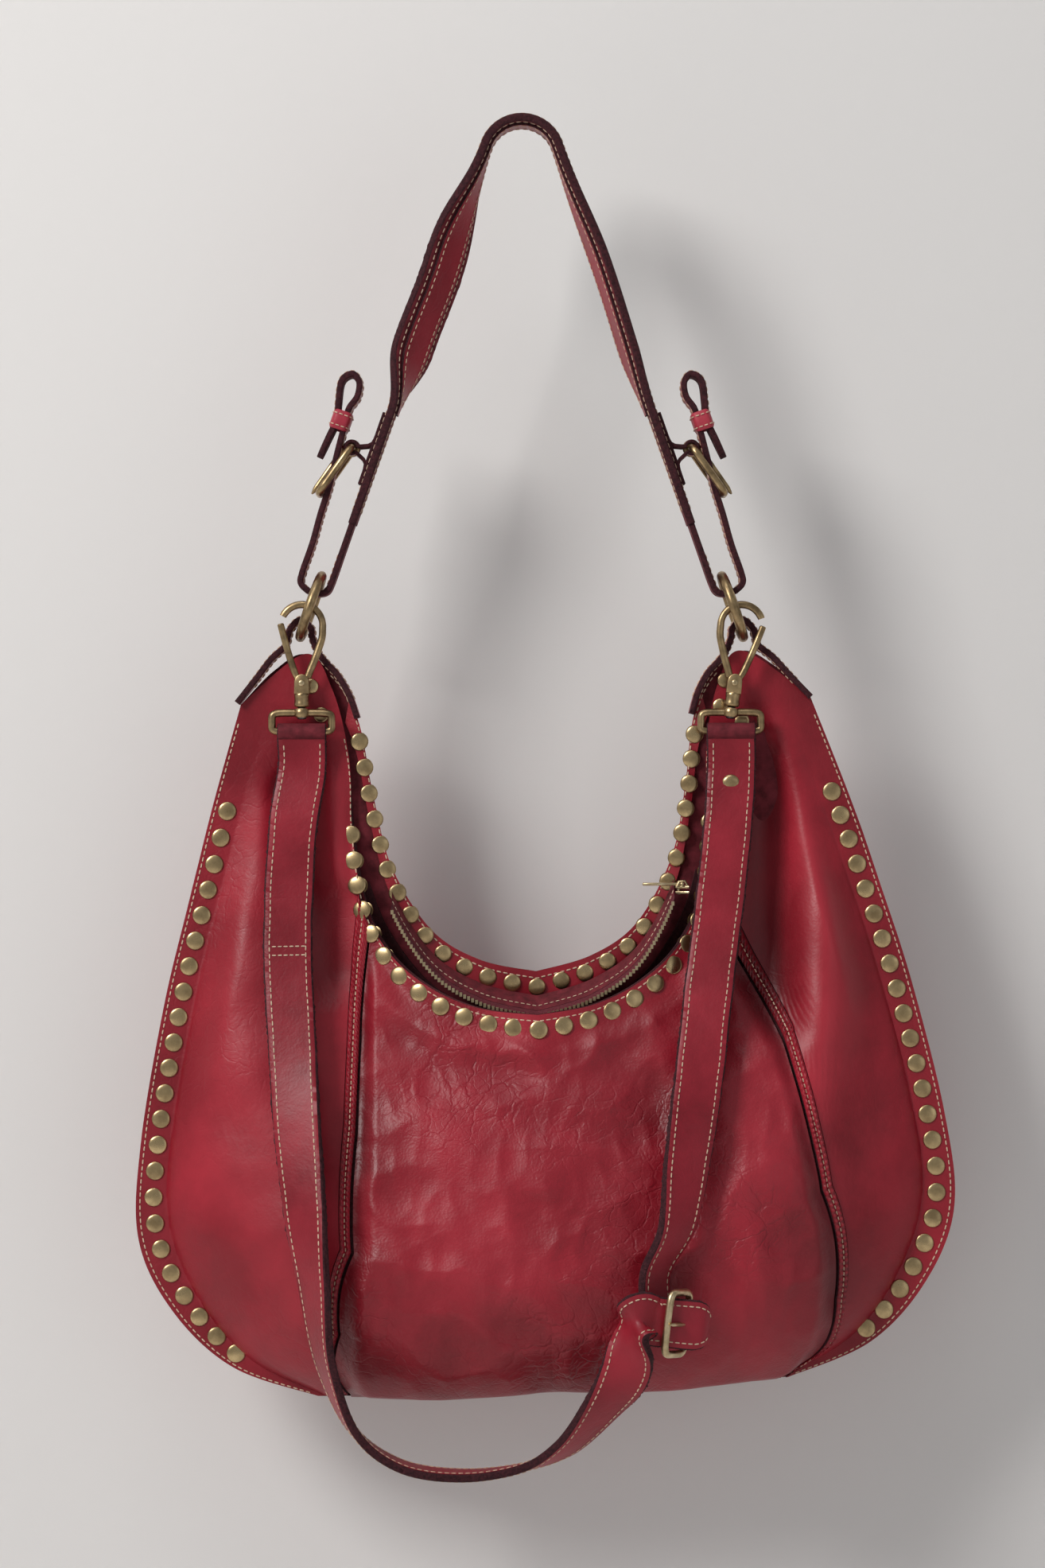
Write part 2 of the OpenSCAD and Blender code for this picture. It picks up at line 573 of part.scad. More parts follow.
module gate(side) {
    top = [hook_in_r + hook_band / 2 + 0.1, 1.4];
    color([0.55, 0.5, 0.38]) on_hook(side)
        difference() {
            union() {
                across_y(2 * cheek_in - 0.4) {
                    translate([0, -pin_drop]) circle(r = tongue_r, $fn = 40);
                    polygon([[-0.6, -pin_drop + 2.2], [2.6, -pin_drop + 0.4], [6.6, -19], [2.4, -19]]);
                }
                across_y(hook_t)
                    polygon([[2.9, -21.4], [top[0] - 1.8, top[1]], [top[0] + 1.6, top[1]], [6.4, -21.4]]);
            }
            translate([0, 0, -pin_drop]) rotate([90, 0, 0])
                cylinder(r = pin_r + pin_gap, h = 10, center = true, $fn = 32);
        }
}
module gate_pin(side) {
    color([0.8, 0.72, 0.5]) on_hook(side) translate([0, 0, -pin_drop]) rotate([90, 0, 0]) {
        cylinder(r = pin_r, h = 2 * cheek_out + 0.2, center = true, $fn = 32);
        for (s = [-1, 1])
            translate([0, 0, s * (cheek_out + 0.35)]) cylinder(r = 1.7, h = 0.6, center = true, $fn = 32);
    }
}

// ---------- D frames and their swivel posts ----------
dee_h = 9.5;
dee_w = cross_w + 5.8;
dee_gap = 0.3;
dee_drop = barrel_top + barrel_h + dee_gap + 2.6;
// Middle of a D frame's upper bar, straight below the hook's post
function dee_top(side) =
    [side * (hook_x - dee_drop * sin(hook_lean(side))), clasp_y, hook_z - dee_drop * cos(hook_lean(side))];
module dee(side) {
    color([0.7, 0.6, 0.4]) {
        difference() {
            translate([dee_top(side)[0], clasp_y, dee_top(side)[2] - dee_h / 2])
                wire_frame(dee_w, dee_h, 3, dee_wire_r);
            on_hook(side) translate([0, 0, -dee_drop]) cylinder(r = 3, h = 12, center = true, $fn = 48);
        }
        on_hook(side) translate([0, 0, -dee_drop - 2.3])
            difference() {
                cylinder(r = 3.7, h = 4.6, $fn = 48);
                translate([0, 0, -1]) cylinder(r = post_r, h = 8, $fn = 48);
            }
    }
}
module swivel_post(side) {
    color([0.45, 0.43, 0.4]) on_hook(side) {
        translate([0, 0, -dee_drop - 2.4]) cylinder(r = post_r, h = dee_drop + 2.4 - barrel_top - 0.4, $fn = 48);
        translate([0, 0, -barrel_top - head_h + 0.4]) cylinder(r = head_r, h = head_h, $fn = 48);
        translate([0, 0, -dee_drop - 2.35 - 0.7]) cylinder(r = head_r, h = 0.7, $fn = 48);
    }
}
function bar(side) = dee_top(side) - [0, 0, dee_h];

// ---------- crossbody strap ----------
// Strap end folded round a D frame's lower bar
fold_in = dee_wire_r + 0.35;
module bar_fold(side) {
    translate(bar(side)) rotate([0, 90, 0])
        difference() {
            cylinder(r = fold_in + cross_t / 2, h = cross_w, center = true, $fn = 64);
            cylinder(r = fold_in, h = cross_w + 2, center = true, $fn = 64);
        }
}
// Moves the chosen points of the route with the rings, from the drop they were chosen at
route_drop = 225;
route_shift = [0, 0, route_drop - ring_drop];
// Buckle at the low right of the hanging loop: its bars run along frame_axis, frame_run goes
// from the free bar to the bar that the chape holds, and frame_face looks out of its front
frame_axis = unit([0.12, 0, 0.99]);
frame_run = unit([0.55, 0.83, -0.0667]);
frame_face = cross(frame_run, frame_axis);
cross_buckle_len = 18;
cross_buckle_w = cross_w + 2 * buckle_wire_r + 2.6;
free_bar = [71, -83, -577 + route_drop - ring_drop];
back_bar = free_bar + frame_run * cross_buckle_len;
// Point beside the back bar, out of the frame's face and along its run
function by_bar(out, run_on) = back_bar + frame_face * out + frame_run * run_on;
clear_bar = buckle_wire_r + cross_t / 2 + 3;
clear_chape = buckle_wire_r + 0.25 + chape_t + cross_t / 2 + 1.9;
long_route = [[-114, -17, -333], [-116, -20, -365], [-116.5, -26, -400], [-114, -36, -440],
              [-111, -48, -480], [-107, -58, -520], [-102, -63, -560], [-96, -62, -600],
              [-83, -57, -632], [-60, -53, -650], [-30, -51, -655], [0, -51, -652],
              [22, -55, -641], [40, -64, -620], [51, -75, -601]];
long_line = concat([bar(-1) - [0, 0, fold_in + cross_t / 4], bar(-1) - [0, 0, 20]],
                   [for (p = long_route) p + route_shift],
                   [by_bar(-clear_bar - 5, -cross_buckle_len - 9), by_bar(-clear_bar, -cross_buckle_len),
                    by_bar(1.3, -cross_buckle_len / 2), by_bar(clear_chape, 0), by_bar(clear_chape, 5)]);
long_across = [[-1, 0, 0], [-1, 0, 0], [-1, 0, 0], [-1, 0, 0], [-1, 0, 0], [-1, 0.1, 0],
               [-0.95, 0.3, 0], [-0.85, 0.5, 0], [-0.6, 0.8, 0], [-0.35, 0.93, 0],
               [-0.15, 0.98, 0], [0, 1, 0], [0, 1, 0], [0, 1, -0.1], [0.25, 0.9, -0.3],
               [0.45, 0.7, -0.5], [0.3, 0.3, -0.85], -frame_axis,
               -frame_axis, -frame_axis, -frame_axis, -frame_axis];
strap_end_out = -(clear_bar + cross_t + 1.8);
short_route = [[103, -17, -335], [98.5, -23, -375], [93, -33, -415], [88, -46, -455],
               [82, -61, -495], [76, -70, -530]];
short_line = concat([bar(1) - [0, 0, fold_in + cross_t / 4], bar(1) - [0, 0, 20]],
                    [for (p = short_route) p + route_shift],
                    [by_bar(strap_end_out, -9) + [0, 0, 24], by_bar(strap_end_out, -9) + [0, 0, 6],
                     by_bar(strap_end_out, -9) - [0, 0, 8]]);
short_across = [[-1, 0, 0], [-1, 0, 0], [-1, 0, 0], [-1, 0, 0], [-1, 0, 0], [-0.97, -0.1, 0],
                [-0.9, -0.4, 0], [-0.7, -0.7, 0], -frame_run, -frame_run, -frame_run];
module crossbody_long_strap() {
    color([0.62, 0.05, 0.15]) {
        bar_fold(-1);
        difference() {
            ribbon([for (i = [0:76]) [curve(long_line, i / 76), unit(curve(long_across, i / 76))]],
                   cross_w, cross_t);
            at_cross_buckle() translate([-3, -prong_w / 2 - 0.8, -15]) cube([14, prong_w + 1.6, 14]);
        }
    }
}
module crossbody_short_strap() {
    color([0.62, 0.05, 0.15]) {
        bar_fold(1);
        ribbon([for (i = [0:40]) [curve(short_line, i / 40), unit(curve(short_across, i / 40))]],
               cross_w, cross_t);
    }
}
// Local frame of the crossbody buckle: bars along Y, -Z towards the free bar, X out of its face
module at_cross_buckle() {
    x = frame_face;
    y = -frame_axis;
    z = frame_run;
    multmatrix([[x[0], y[0], z[0], back_bar[0]], [x[1], y[1], z[1], back_bar[1]],
                [x[2], y[2], z[2], back_bar[2]], [0, 0, 0, 1]]) children();
}
module crossbody_buckle() {
    color([0.72, 0.62, 0.42]) at_cross_buckle() buckle_frame(cross_buckle_w, cross_buckle_len);
}
module crossbody_prong() {
    color([0.8, 0.75, 0.6]) at_cross_buckle() prong(cross_buckle_len);
}
// Leather loop that holds the buckle's back bar to the short strap, slotted for the prong
module crossbody_chape() {
    eye = buckle_wire_r + 0.25;
    color([0.6, 0.15, 0.25]) at_cross_buckle()
        difference() {
            rotate([90, 0, 0]) translate([0, 0, -chape_w / 2]) linear_extrude(chape_w)
                difference() {
                    union() {
                        circle(r = eye + chape_t, $fn = 48);
                        translate([strap_end_out + cross_t / 2 + 0.05, -1])
                            square([-strap_end_out - cross_t / 2, eye + chape_t + 1]);
                    }
                    circle(r = eye, $fn = 48);
                }
            translate([-eye - chape_t, -prong_w / 2 - 0.5, -8])
                cube([2 * (eye + chape_t) + 1, prong_w + 1, 14]);
        }
}
module crossbody_rivet() {
    p = curve(short_line, 0.02);
    color([0.75, 0.65, 0.45]) translate([104.6, p[1] - cross_t / 2 - 0.2, route_shift[2] - 314]) rotate([96, 0, 0])
        rivet(stud_d, cross_t, false);
}

// ---------- what is drawn ----------
shoulder_strap();
strap_lining();
strap_chape(-1);  // strap_chape_left
strap_chape(1);  // strap_chape_right
strap_keeper(-1);  // strap_keeper_left
strap_keeper(1);  // strap_keeper_right
strap_buckle(-1);  // strap_buckle_left
strap_buckle(1);  // strap_buckle_right
strap_prong(-1);  // strap_prong_left
strap_prong(1);  // strap_prong_right
strap_ring(-1);  // ring_left
strap_ring(1);  // ring_right
ring_tab(-1);  // ring_tab_left
ring_tab(1);  // ring_tab_right
tab_rivets(-1);  // tab_rivets_left
tab_rivets(1);  // tab_rivets_right
front_panel_left();
front_panel_middle();
front_panel_right();
welt(-1);  // welt_left
welt(1);  // welt_right
back_panel();
lining(-1);  // lining_front
lining(1);  // lining_back
mouth_band(-1);  // mouth_band_front
mouth_band(1);  // mouth_band_back
side_studs(-1);  // side_studs_left
side_studs(1);  // side_studs_right
mouth_studs(-1);  // mouth_studs_front
mouth_studs(1);  // mouth_studs_back
zip_flange(-1);  // zip_flange_front
zip_flange(1);  // zip_flange_back
zip_tape(-1);  // zip_tape_front
zip_tape(1);  // zip_tape_back
zip_slider();
zip_pull();
hook(-1);  // hook_left
hook(1);  // hook_right
gate(-1);  // gate_left
gate(1);  // gate_right
gate_pin(-1);  // gate_pin_left
gate_pin(1);  // gate_pin_right
swivel_post(-1);  // swivel_post_left
swivel_post(1);  // swivel_post_right
dee(-1);  // dee_left
dee(1);  // dee_right
crossbody_long_strap();
crossbody_short_strap();
crossbody_rivet();
crossbody_buckle();
crossbody_prong();
crossbody_chape();
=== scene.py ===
import json
import math
import bpy
import bmesh
import numpy as np
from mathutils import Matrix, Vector


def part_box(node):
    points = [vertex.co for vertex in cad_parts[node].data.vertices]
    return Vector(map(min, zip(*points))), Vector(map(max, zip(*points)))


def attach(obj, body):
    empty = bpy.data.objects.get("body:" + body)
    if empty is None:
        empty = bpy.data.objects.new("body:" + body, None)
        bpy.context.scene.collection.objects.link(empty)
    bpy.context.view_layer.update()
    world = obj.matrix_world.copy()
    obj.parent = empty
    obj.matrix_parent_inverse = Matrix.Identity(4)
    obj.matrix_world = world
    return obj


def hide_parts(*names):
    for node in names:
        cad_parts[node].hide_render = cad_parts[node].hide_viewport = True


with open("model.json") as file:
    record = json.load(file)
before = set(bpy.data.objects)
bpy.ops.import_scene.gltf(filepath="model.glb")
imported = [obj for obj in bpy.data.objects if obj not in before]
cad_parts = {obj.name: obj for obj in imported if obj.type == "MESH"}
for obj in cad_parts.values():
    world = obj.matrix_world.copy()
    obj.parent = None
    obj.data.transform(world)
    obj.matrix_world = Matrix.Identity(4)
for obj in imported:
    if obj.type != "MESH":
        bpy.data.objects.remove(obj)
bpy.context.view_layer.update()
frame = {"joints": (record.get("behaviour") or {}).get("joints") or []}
joints = {j["name"]: j for j in frame["joints"]}
print("frame loaded")


# ---- numbers and curves; everything is worked in millimetres and built in metres ----
def mix(a, b, t):
    return a + (b - a) * t


def smooth(t):
    c = np.clip(t, 0, 1)
    return c * c * (3 - 2 * c)


def unit(v):
    v = np.asarray(v, float)
    return v / np.maximum(np.linalg.norm(v, axis=-1, keepdims=True), 1e-9)


# Smooth curve through every point of a list, for t from 0 to 1
def spline(points, t):
    p = np.asarray(points, float)
    n = len(p) - 1
    s = np.clip(np.asarray(t, float), 0, 1) * n
    i = np.minimum(s.astype(int), n - 1)
    f = (s - i)[..., None]
    a, b, c, d = p[np.maximum(i - 1, 0)], p[i], p[i + 1], p[np.minimum(i + 2, n)]
    return 0.5 * (2 * b + (c - a) * f + (2 * a - 5 * b + 4 * c - d) * f ** 2
                  + (3 * b - a - 3 * c + d) * f ** 3)


# Sum of a few sine waves in random directions, about -1 to 1
def ripple(x, z, length, seed, count=9):
    rng = np.random.default_rng(seed)
    total = np.zeros_like(x)
    for _ in range(count):
        a, k, p = rng.uniform(0, 6.28), 6.28 / (length * rng.uniform(0.7, 1.5)), rng.uniform(0, 6.28)
        total += np.sin((x * math.cos(a) + z * math.sin(a)) * k + p)
    return total / count ** 0.5 * 0.7


def lengthAlong(p):
    step = np.linalg.norm(np.diff(p, axis=0), axis=1)
    return np.concatenate([[0], np.cumsum(step)])


def jointPos(name):
    return np.array(joints[name]["pos_m"]) * 1000


def boxOf(node):
    lo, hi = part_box(node)
    return np.array(lo) * 1000, np.array(hi) * 1000


# ---- materials ----
def nodeTree(material):
    material.use_nodes = True
    tree = material.node_tree
    tree.nodes.clear()
    return tree


def link(tree, a, b):
    tree.links.new(a, b)


def newGroup(name, inputs, outputs):
    g = bpy.data.node_groups.new(name, "ShaderNodeTree")
    for n, kind, value in inputs:
        s = g.interface.new_socket(name=n, in_out="INPUT", socket_type=kind)
        if value is not None:
            s.default_value = value
    for n, kind in outputs:
        g.interface.new_socket(name=n, in_out="OUTPUT", socket_type=kind)
    return g, g.nodes.new("NodeGroupInput"), g.nodes.new("NodeGroupOutput")


def mathNode(tree, op, a, b=None, c=None):
    n = tree.nodes.new("ShaderNodeMath")
    n.operation = op
    for i, v in enumerate((a, b, c)):
        if v is None:
            continue
        if isinstance(v, (int, float)):
            n.inputs[i].default_value = v
        else:
            link(tree, v, n.inputs[i])
    return n.outputs[0]


def ramp(tree, value, low, high, lowOut=0.0, highOut=1.0):
    n = tree.nodes.new("ShaderNodeMapRange")
    link(tree, value, n.inputs[0])
    for i, v in enumerate((low, high, lowOut, highOut)):
        n.inputs[i + 1].default_value = v
    return n.outputs[0]


def noise(tree, vector, scale, detail=3.0, rough=0.55, out="Fac"):
    n = tree.nodes.new("ShaderNodeTexNoise")
    link(tree, vector, n.inputs["Vector"])
    n.inputs["Scale"].default_value = scale
    n.inputs["Detail"].default_value = detail
    n.inputs["Roughness"].default_value = rough
    return n.outputs[out]


# Leather height in three parts: fine pores, soft pebbling, and creases between wandering cells
def leatherGroup():
    g, gi, go = newGroup("leatherMarks", [("Vector", "NodeSocketVector", None),
                                          ("Grain", "NodeSocketFloat", 1.0),
                                          ("Crease", "NodeSocketFloat", 1.0)],
                         [("Height", "NodeSocketFloat"), ("Mottle", "NodeSocketFloat"),
                          ("Creases", "NodeSocketFloat")])
    v = gi.outputs["Vector"]
    warp = g.nodes.new("ShaderNodeVectorMath")
    warp.operation = "MULTIPLY_ADD"
    link(g, noise(g, v, 22.0, 4.0, 0.6, "Color"), warp.inputs[0])
    warp.inputs[1].default_value = (0.035, 0.035, 0.035)
    link(g, v, warp.inputs[2])
    lines = []
    for scale, width in ((70.0, 0.06), (170.0, 0.09)):
        cells = g.nodes.new("ShaderNodeTexVoronoi")
        cells.feature = "DISTANCE_TO_EDGE"
        link(g, warp.outputs[0], cells.inputs["Vector"])
        cells.inputs["Scale"].default_value = scale
        lines.append(ramp(g, cells.outputs["Distance"], 0.0, width, 1.0, 0.0))
    patchy = ramp(g, noise(g, v, 9.0, 2.0), 0.42, 0.62)
    creases = mathNode(g, "MULTIPLY", mathNode(g, "MULTIPLY_ADD", lines[1], 0.45, lines[0]), patchy)
    pores = g.nodes.new("ShaderNodeTexVoronoi")
    link(g, v, pores.inputs["Vector"])
    pores.inputs["Scale"].default_value = 760.0
    fine = mathNode(g, "MULTIPLY_ADD", noise(g, v, 420.0, 3.0), 0.6, mathNode(g, "MULTIPLY", pores.outputs["Distance"], 0.5))
    grain = mathNode(g, "MULTIPLY", fine, gi.outputs["Grain"])
    soft = mathNode(g, "MULTIPLY", noise(g, v, 60.0, 4.0, 0.6), 1.4)
    deep = mathNode(g, "MULTIPLY", creases, gi.outputs["Crease"])
    height = mathNode(g, "SUBTRACT", mathNode(g, "MULTIPLY_ADD", grain, 0.25, soft), deep)
    link(g, height, go.inputs["Height"])
    link(g, noise(g, v, 16.0, 5.0, 0.62), go.inputs["Mottle"])
    link(g, creases, go.inputs["Creases"])
    return g


leatherMarks = leatherGroup()


def principled(tree, **values):
    bsdf = tree.nodes.new("ShaderNodeBsdfPrincipled")
    out = tree.nodes.new("ShaderNodeOutputMaterial")
    link(tree, bsdf.outputs[0], out.inputs[0])
    for k, v in values.items():
        bsdf.inputs[k.replace("_", " ")].default_value = v
    return bsdf


def objectVector(tree):
    return tree.nodes.new("ShaderNodeTexCoord").outputs["Object"]


def mixColour(tree, fac, a, b):
    n = tree.nodes.new("ShaderNodeMix")
    n.data_type = "RGBA"
    if isinstance(fac, (int, float)):
        n.inputs[0].default_value = fac
    else:
        link(tree, fac, n.inputs[0])
    for i, c in ((6, a), (7, b)):
        if isinstance(c, tuple):
            n.inputs[i].default_value = (*c, 1)
        else:
            link(tree, c, n.inputs[i])
    return n.outputs[2]


def bump(tree, bsdf, height, strength, distance):
    n = tree.nodes.new("ShaderNodeBump")
    n.inputs["Strength"].default_value = strength
    n.inputs["Distance"].default_value = distance
    link(tree, height, n.inputs["Height"])
    link(tree, n.outputs[0], bsdf.inputs["Normal"])


# Leather whose colour carries painted light: the wornAndLit colour goes on fold ridges, part rubbed wear and part
# painted highlight, and fold hollows get painted shade
def leather(name, base, dark, wornAndLit, rough=0.42, grain=1.0, crease=0.5, depth=0.0007, coat=0.0):
    m = bpy.data.materials.new(name)
    t = nodeTree(m)
    b = principled(t, Specular_IOR_Level=0.42, Coat_Weight=coat, Coat_Roughness=0.3)
    g = t.nodes.new("ShaderNodeGroup")
    g.node_tree = leatherMarks
    g.inputs["Grain"].default_value = grain
    g.inputs["Crease"].default_value = crease
    link(t, objectVector(t), g.inputs["Vector"])
    wear = t.nodes.new("ShaderNodeAttribute")
    wear.attribute_name = "wear"
    mottle = ramp(t, g.outputs["Mottle"], 0.36, 0.66)
    colour = mixColour(t, mottle, dark, base)
    # Above 0.5 the wear attribute lightens toward the ridge colour: rubbed wear and painted highlight on raised folds
    # and puckers
    colour = mixColour(t, mathNode(t, "MULTIPLY", ramp(t, wear.outputs["Fac"], 0.5, 1.0), 0.75), colour, wornAndLit)
    # Below 0.5 it darkens toward a deep shade of the dark tone: painted shade in fold hollows and in the grooves beside
    # the welts
    shade = mathNode(t, "MULTIPLY", ramp(t, wear.outputs["Fac"], 0.5, 0.0), 0.8)
    colour = mixColour(t, shade, colour, tuple(c * 0.35 for c in dark))
    # Painted shade: the crease lines are darkened in the colour
    colour = mixColour(t, mathNode(t, "MULTIPLY", g.outputs["Creases"], 0.22 * min(crease, 1)), colour, dark)
    link(t, colour, b.inputs["Base Color"])
    link(t, ramp(t, g.outputs["Mottle"], 0.3, 0.7, rough - 0.06, rough + 0.1), b.inputs["Roughness"])
    bump(t, b, g.outputs["Height"], 0.55, depth)
    return m


def plain(name, base, second, rough=0.8, scale=300.0, metal=0.0, depth=0.0003, strength=0.4):
    m = bpy.data.materials.new(name)
    t = nodeTree(m)
    b = principled(t, Metallic=metal)
    v = objectVector(t)
    n = noise(t, v, scale, 4.0, 0.6)
    link(t, mixColour(t, ramp(t, n, 0.35, 0.65), second, base), b.inputs["Base Color"])
    link(t, ramp(t, n, 0.3, 0.7, rough + 0.08, rough - 0.06), b.inputs["Roughness"])
    bump(t, b, noise(t, v, scale * 3, 3.0), strength, depth)
    return m


# Leathers: base colour, darker mottle, and a lighter colour painted on fold ridges, part rubbed wear and part painted
# highlight
mats = {
    "satin": leather("leatherSatin", (0.37, 0.010, 0.026), (0.22, 0.004, 0.013), (0.50, 0.035, 0.055),
                     0.44, 0.7, 0.25, 0.0006),
    "crinkled": leather("leatherCrinkled", (0.34, 0.009, 0.024), (0.20, 0.004, 0.012), (0.46, 0.03, 0.05),
                        0.42, 1.2, 0.55, 0.0010, 0.05),
    "strap": leather("leatherStrap", (0.31, 0.009, 0.024), (0.18, 0.004, 0.012), (0.42, 0.035, 0.055),
                     0.42, 1.0, 0.2, 0.0005),
    "pale": leather("leatherPale", (0.46, 0.045, 0.07), (0.33, 0.02, 0.04), (0.6, 0.12, 0.15), 0.5, 1.0, 0.2, 0.0005),
    "flesh": plain("leatherFlesh", (0.16, 0.008, 0.018), (0.08, 0.003, 0.008), 0.85, 180.0),
    "edge": plain("leatherRawEdge", (0.055, 0.004, 0.009), (0.02, 0.001, 0.004), 0.9, 700.0, 0.0, 0.0006, 0.8),
    "lining": plain("liningCloth", (0.06, 0.006, 0.010), (0.03, 0.003, 0.005), 0.9, 500.0),
    "thread": plain("creamThread", (0.72, 0.55, 0.40), (0.50, 0.34, 0.24), 0.75, 900.0),
    "brass": plain("antiqueBrass", (0.50, 0.36, 0.19), (0.20, 0.14, 0.075), 0.34, 140.0, 1.0, 0.0001, 0.15),
    "studBrass": plain("studBrass", (0.60, 0.45, 0.24), (0.32, 0.23, 0.12), 0.30, 110.0, 1.0, 0.0001, 0.1),
    "lightBrass": plain("wornBrass", (0.74, 0.60, 0.38), (0.45, 0.35, 0.20), 0.32, 160.0, 1.0, 0.0001, 0.15),
    "steel": plain("swivelSteel", (0.22, 0.20, 0.18), (0.08, 0.07, 0.065), 0.36, 200.0, 1.0, 0.0001, 0.2),
    "tape": plain("zipTape", (0.14, 0.012, 0.025), (0.08, 0.006, 0.012), 0.85, 900.0),
}
print("materials made")


# ---- mesh building ----
def gridQuads(rows, cols, start=0, wrap=False):
    i = np.arange(rows * cols).reshape(rows, cols) + start
    if wrap:
        i = np.concatenate([i, i[:, :1]], 1)
    return np.stack([i[:-1, :-1], i[1:, :-1], i[1:, 1:], i[:-1, 1:]], -1).reshape(-1, 4)


# Makes one object from points in millimetres; faces turned outward, wear with painted light and shade kept as an
# attribute
def makeObject(name, points, faces, materials, faceMats=None, wear=None, sharp=50):
    me = bpy.data.meshes.new(name)
    me.from_pydata((np.asarray(points).reshape(-1, 3) * 0.001).tolist(), [], faces)
    for m in materials:
        me.materials.append(mats[m])
    if faceMats is not None:
        me.polygons.foreach_set("material_index", np.asarray(faceMats, np.int32))
    me.polygons.foreach_set("use_smooth", [True] * len(me.polygons))
    field = me.attributes.new("wear", "FLOAT", "POINT")
    field.data.foreach_set("value", np.full(len(me.vertices), 0.5, np.float32) if wear is None
                           else np.asarray(wear, np.float32).ravel())
    bm = bmesh.new()
    bm.from_mesh(me)
    bmesh.ops.recalc_face_normals(bm, faces=bm.faces)
    bm.to_mesh(me)
    bm.free()
    me.set_sharp_from_angle(angle=math.radians(sharp))
    ob = bpy.data.objects.new(name, me)
    bpy.context.scene.collection.objects.link(ob)
    return ob


def settle(ob, body, nodes=()):
    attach(ob, body)
    if nodes:
        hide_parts(*nodes)
    return ob


# Closed shell between two grids, its rim in the last material
def shell(name, outer, inner, materials, wear=None):
    rows, cols = outer.shape[:2]
    n = rows * cols
    i = np.arange(n).reshape(rows, cols)
    loop = np.concatenate([i[0, :-1], i[:-1, -1], i[-1, :0:-1], i[:0:-1, 0]])
    nxt = np.roll(loop, -1)
    rim = np.stack([loop, nxt, nxt + n, loop + n], -1)
    a, b = gridQuads(rows, cols), gridQuads(rows, cols, n)[:, ::-1]
    faces = np.concatenate([a, b, rim]).tolist()
    index = np.concatenate([np.zeros(len(a)), np.ones(len(b)), np.full(len(rim), 2)])
    both = None if wear is None else np.concatenate([wear.ravel(), np.full(n, 0.5)])
    return makeObject(name, np.concatenate([outer.reshape(-1, 3), inner.reshape(-1, 3)]),
                      faces, materials, index, both)


def frames(path, across):
    along = unit(np.gradient(path, axis=0))
    face = unit(np.cross(along, across))
    return along, unit(np.cross(face, along)), face


# Strap with a crowned face, a back and soft raw edges, swept along a path
def strapMesh(name, path, across, width, thick, materials=("strap", "flesh", "edge"), fuzz=0.16,
              crown=0.25, seed=1, wave=0.0):
    n = len(path)
    along, acr, face = frames(path, across)
    w = np.broadcast_to(width, n)[:, None]
    t = np.broadcast_to(thick, n)[:, None]
    k = 9
    a = np.linspace(-1, 1, k)
    r = 0.28
    lift = crown * (1 - a ** 2)
    hw, ht = w / 2, t / 2
    topA, topB = a[None] * (hw - r * ht), ht + lift[None] * 0.4
    sideA = np.concatenate([hw, hw + 0.12, hw + 0.12, hw], 1)
    sideB = ht * np.array([[0.72, 0.28, -0.28, -0.72]])
    botA, botB = a[None, ::-1] * (hw - r * ht), np.broadcast_to(-ht, (n, k))
    A = np.concatenate([topA, sideA, botA, -sideA], 1)
    B = np.concatenate([np.broadcast_to(topB, (n, k)), np.broadcast_to(sideB, (n, 4)), botB,
                        np.broadcast_to(sideB[:, ::-1], (n, 4))], 1)
    count = A.shape[1]
    rng = np.random.default_rng(seed)
    edge = np.zeros(count)
    edge[k:k + 4] = 1
    edge[2 * k + 4:] = 1
    A = A + rng.normal(0, fuzz, A.shape) * edge
    s = lengthAlong(path)[:, None]
    B = B + wave * np.sin(s / 17.0 + A * 0.08) * 0.5
    pts = path[:, None] + acr[:, None] * A[..., None] + face[:, None] * B[..., None]
    faces = gridQuads(n, count, 0, True).tolist()
    ring = np.tile(np.arange(count), n - 1)
    index = np.where(ring < k - 1, 0, np.where(ring < k + 4, 2, np.where(ring < 2 * k + 3, 1, 2)))
    faces += [list(range(count)), list(range((n - 1) * count, n * count))]
    index = np.concatenate([index, [2, 2]])
    return makeObject(name, pts, faces, materials, index)


# Row of stitches along a line of points that lie on a surface with the given normals
def stitchRow(points, normals, pitch=3.3, length=2.3, radius=0.34):
    s = lengthAlong(points)
    at = np.arange(pitch * 0.6, s[-1] - pitch * 0.4, pitch)
    pos = np.stack([np.interp(at, s, points[:, i]) for i in range(3)], 1)
    nor = unit(np.stack([np.interp(at, s, normals[:, i]) for i in range(3)], 1))
    ahead = np.stack([np.interp(at + 0.8, s, points[:, i]) for i in range(3)], 1)
    behind = np.stack([np.interp(at - 0.8, s, points[:, i]) for i in range(3)], 1)
    x = unit(ahead - behind)
    y = unit(np.cross(nor, x))
    z = np.cross(x, y)
    ends = np.array([-0.5, -0.32, 0.32, 0.5]) * length
    fat = np.array([0.35, 1, 1, 0.35]) * radius
    ang = np.arange(5) * 2 * math.pi / 5
    ly = (fat[:, None] * np.cos(ang)).ravel()
    lz = (fat[:, None] * np.sin(ang) * 0.8 + 0.12).ravel()
    lx = np.repeat(ends, 5)
    pts = (pos[:, None] + x[:, None] * lx[None, :, None] + y[:, None] * ly[None, :, None]
           + z[:, None] * lz[None, :, None])
    return pts


def stitchObject(name, rows, body):
    pts = np.concatenate(rows).reshape(-1, 3)
    count = len(pts) // 20
    one = gridQuads(4, 5, 0, True).tolist() + [[0, 1, 2, 3, 4], [15, 16, 17, 18, 19]]
    faces = [[i + 20 * c for i in f] for c in range(count) for f in one]
    return settle(makeObject(name, pts, faces, ["thread"]), body)


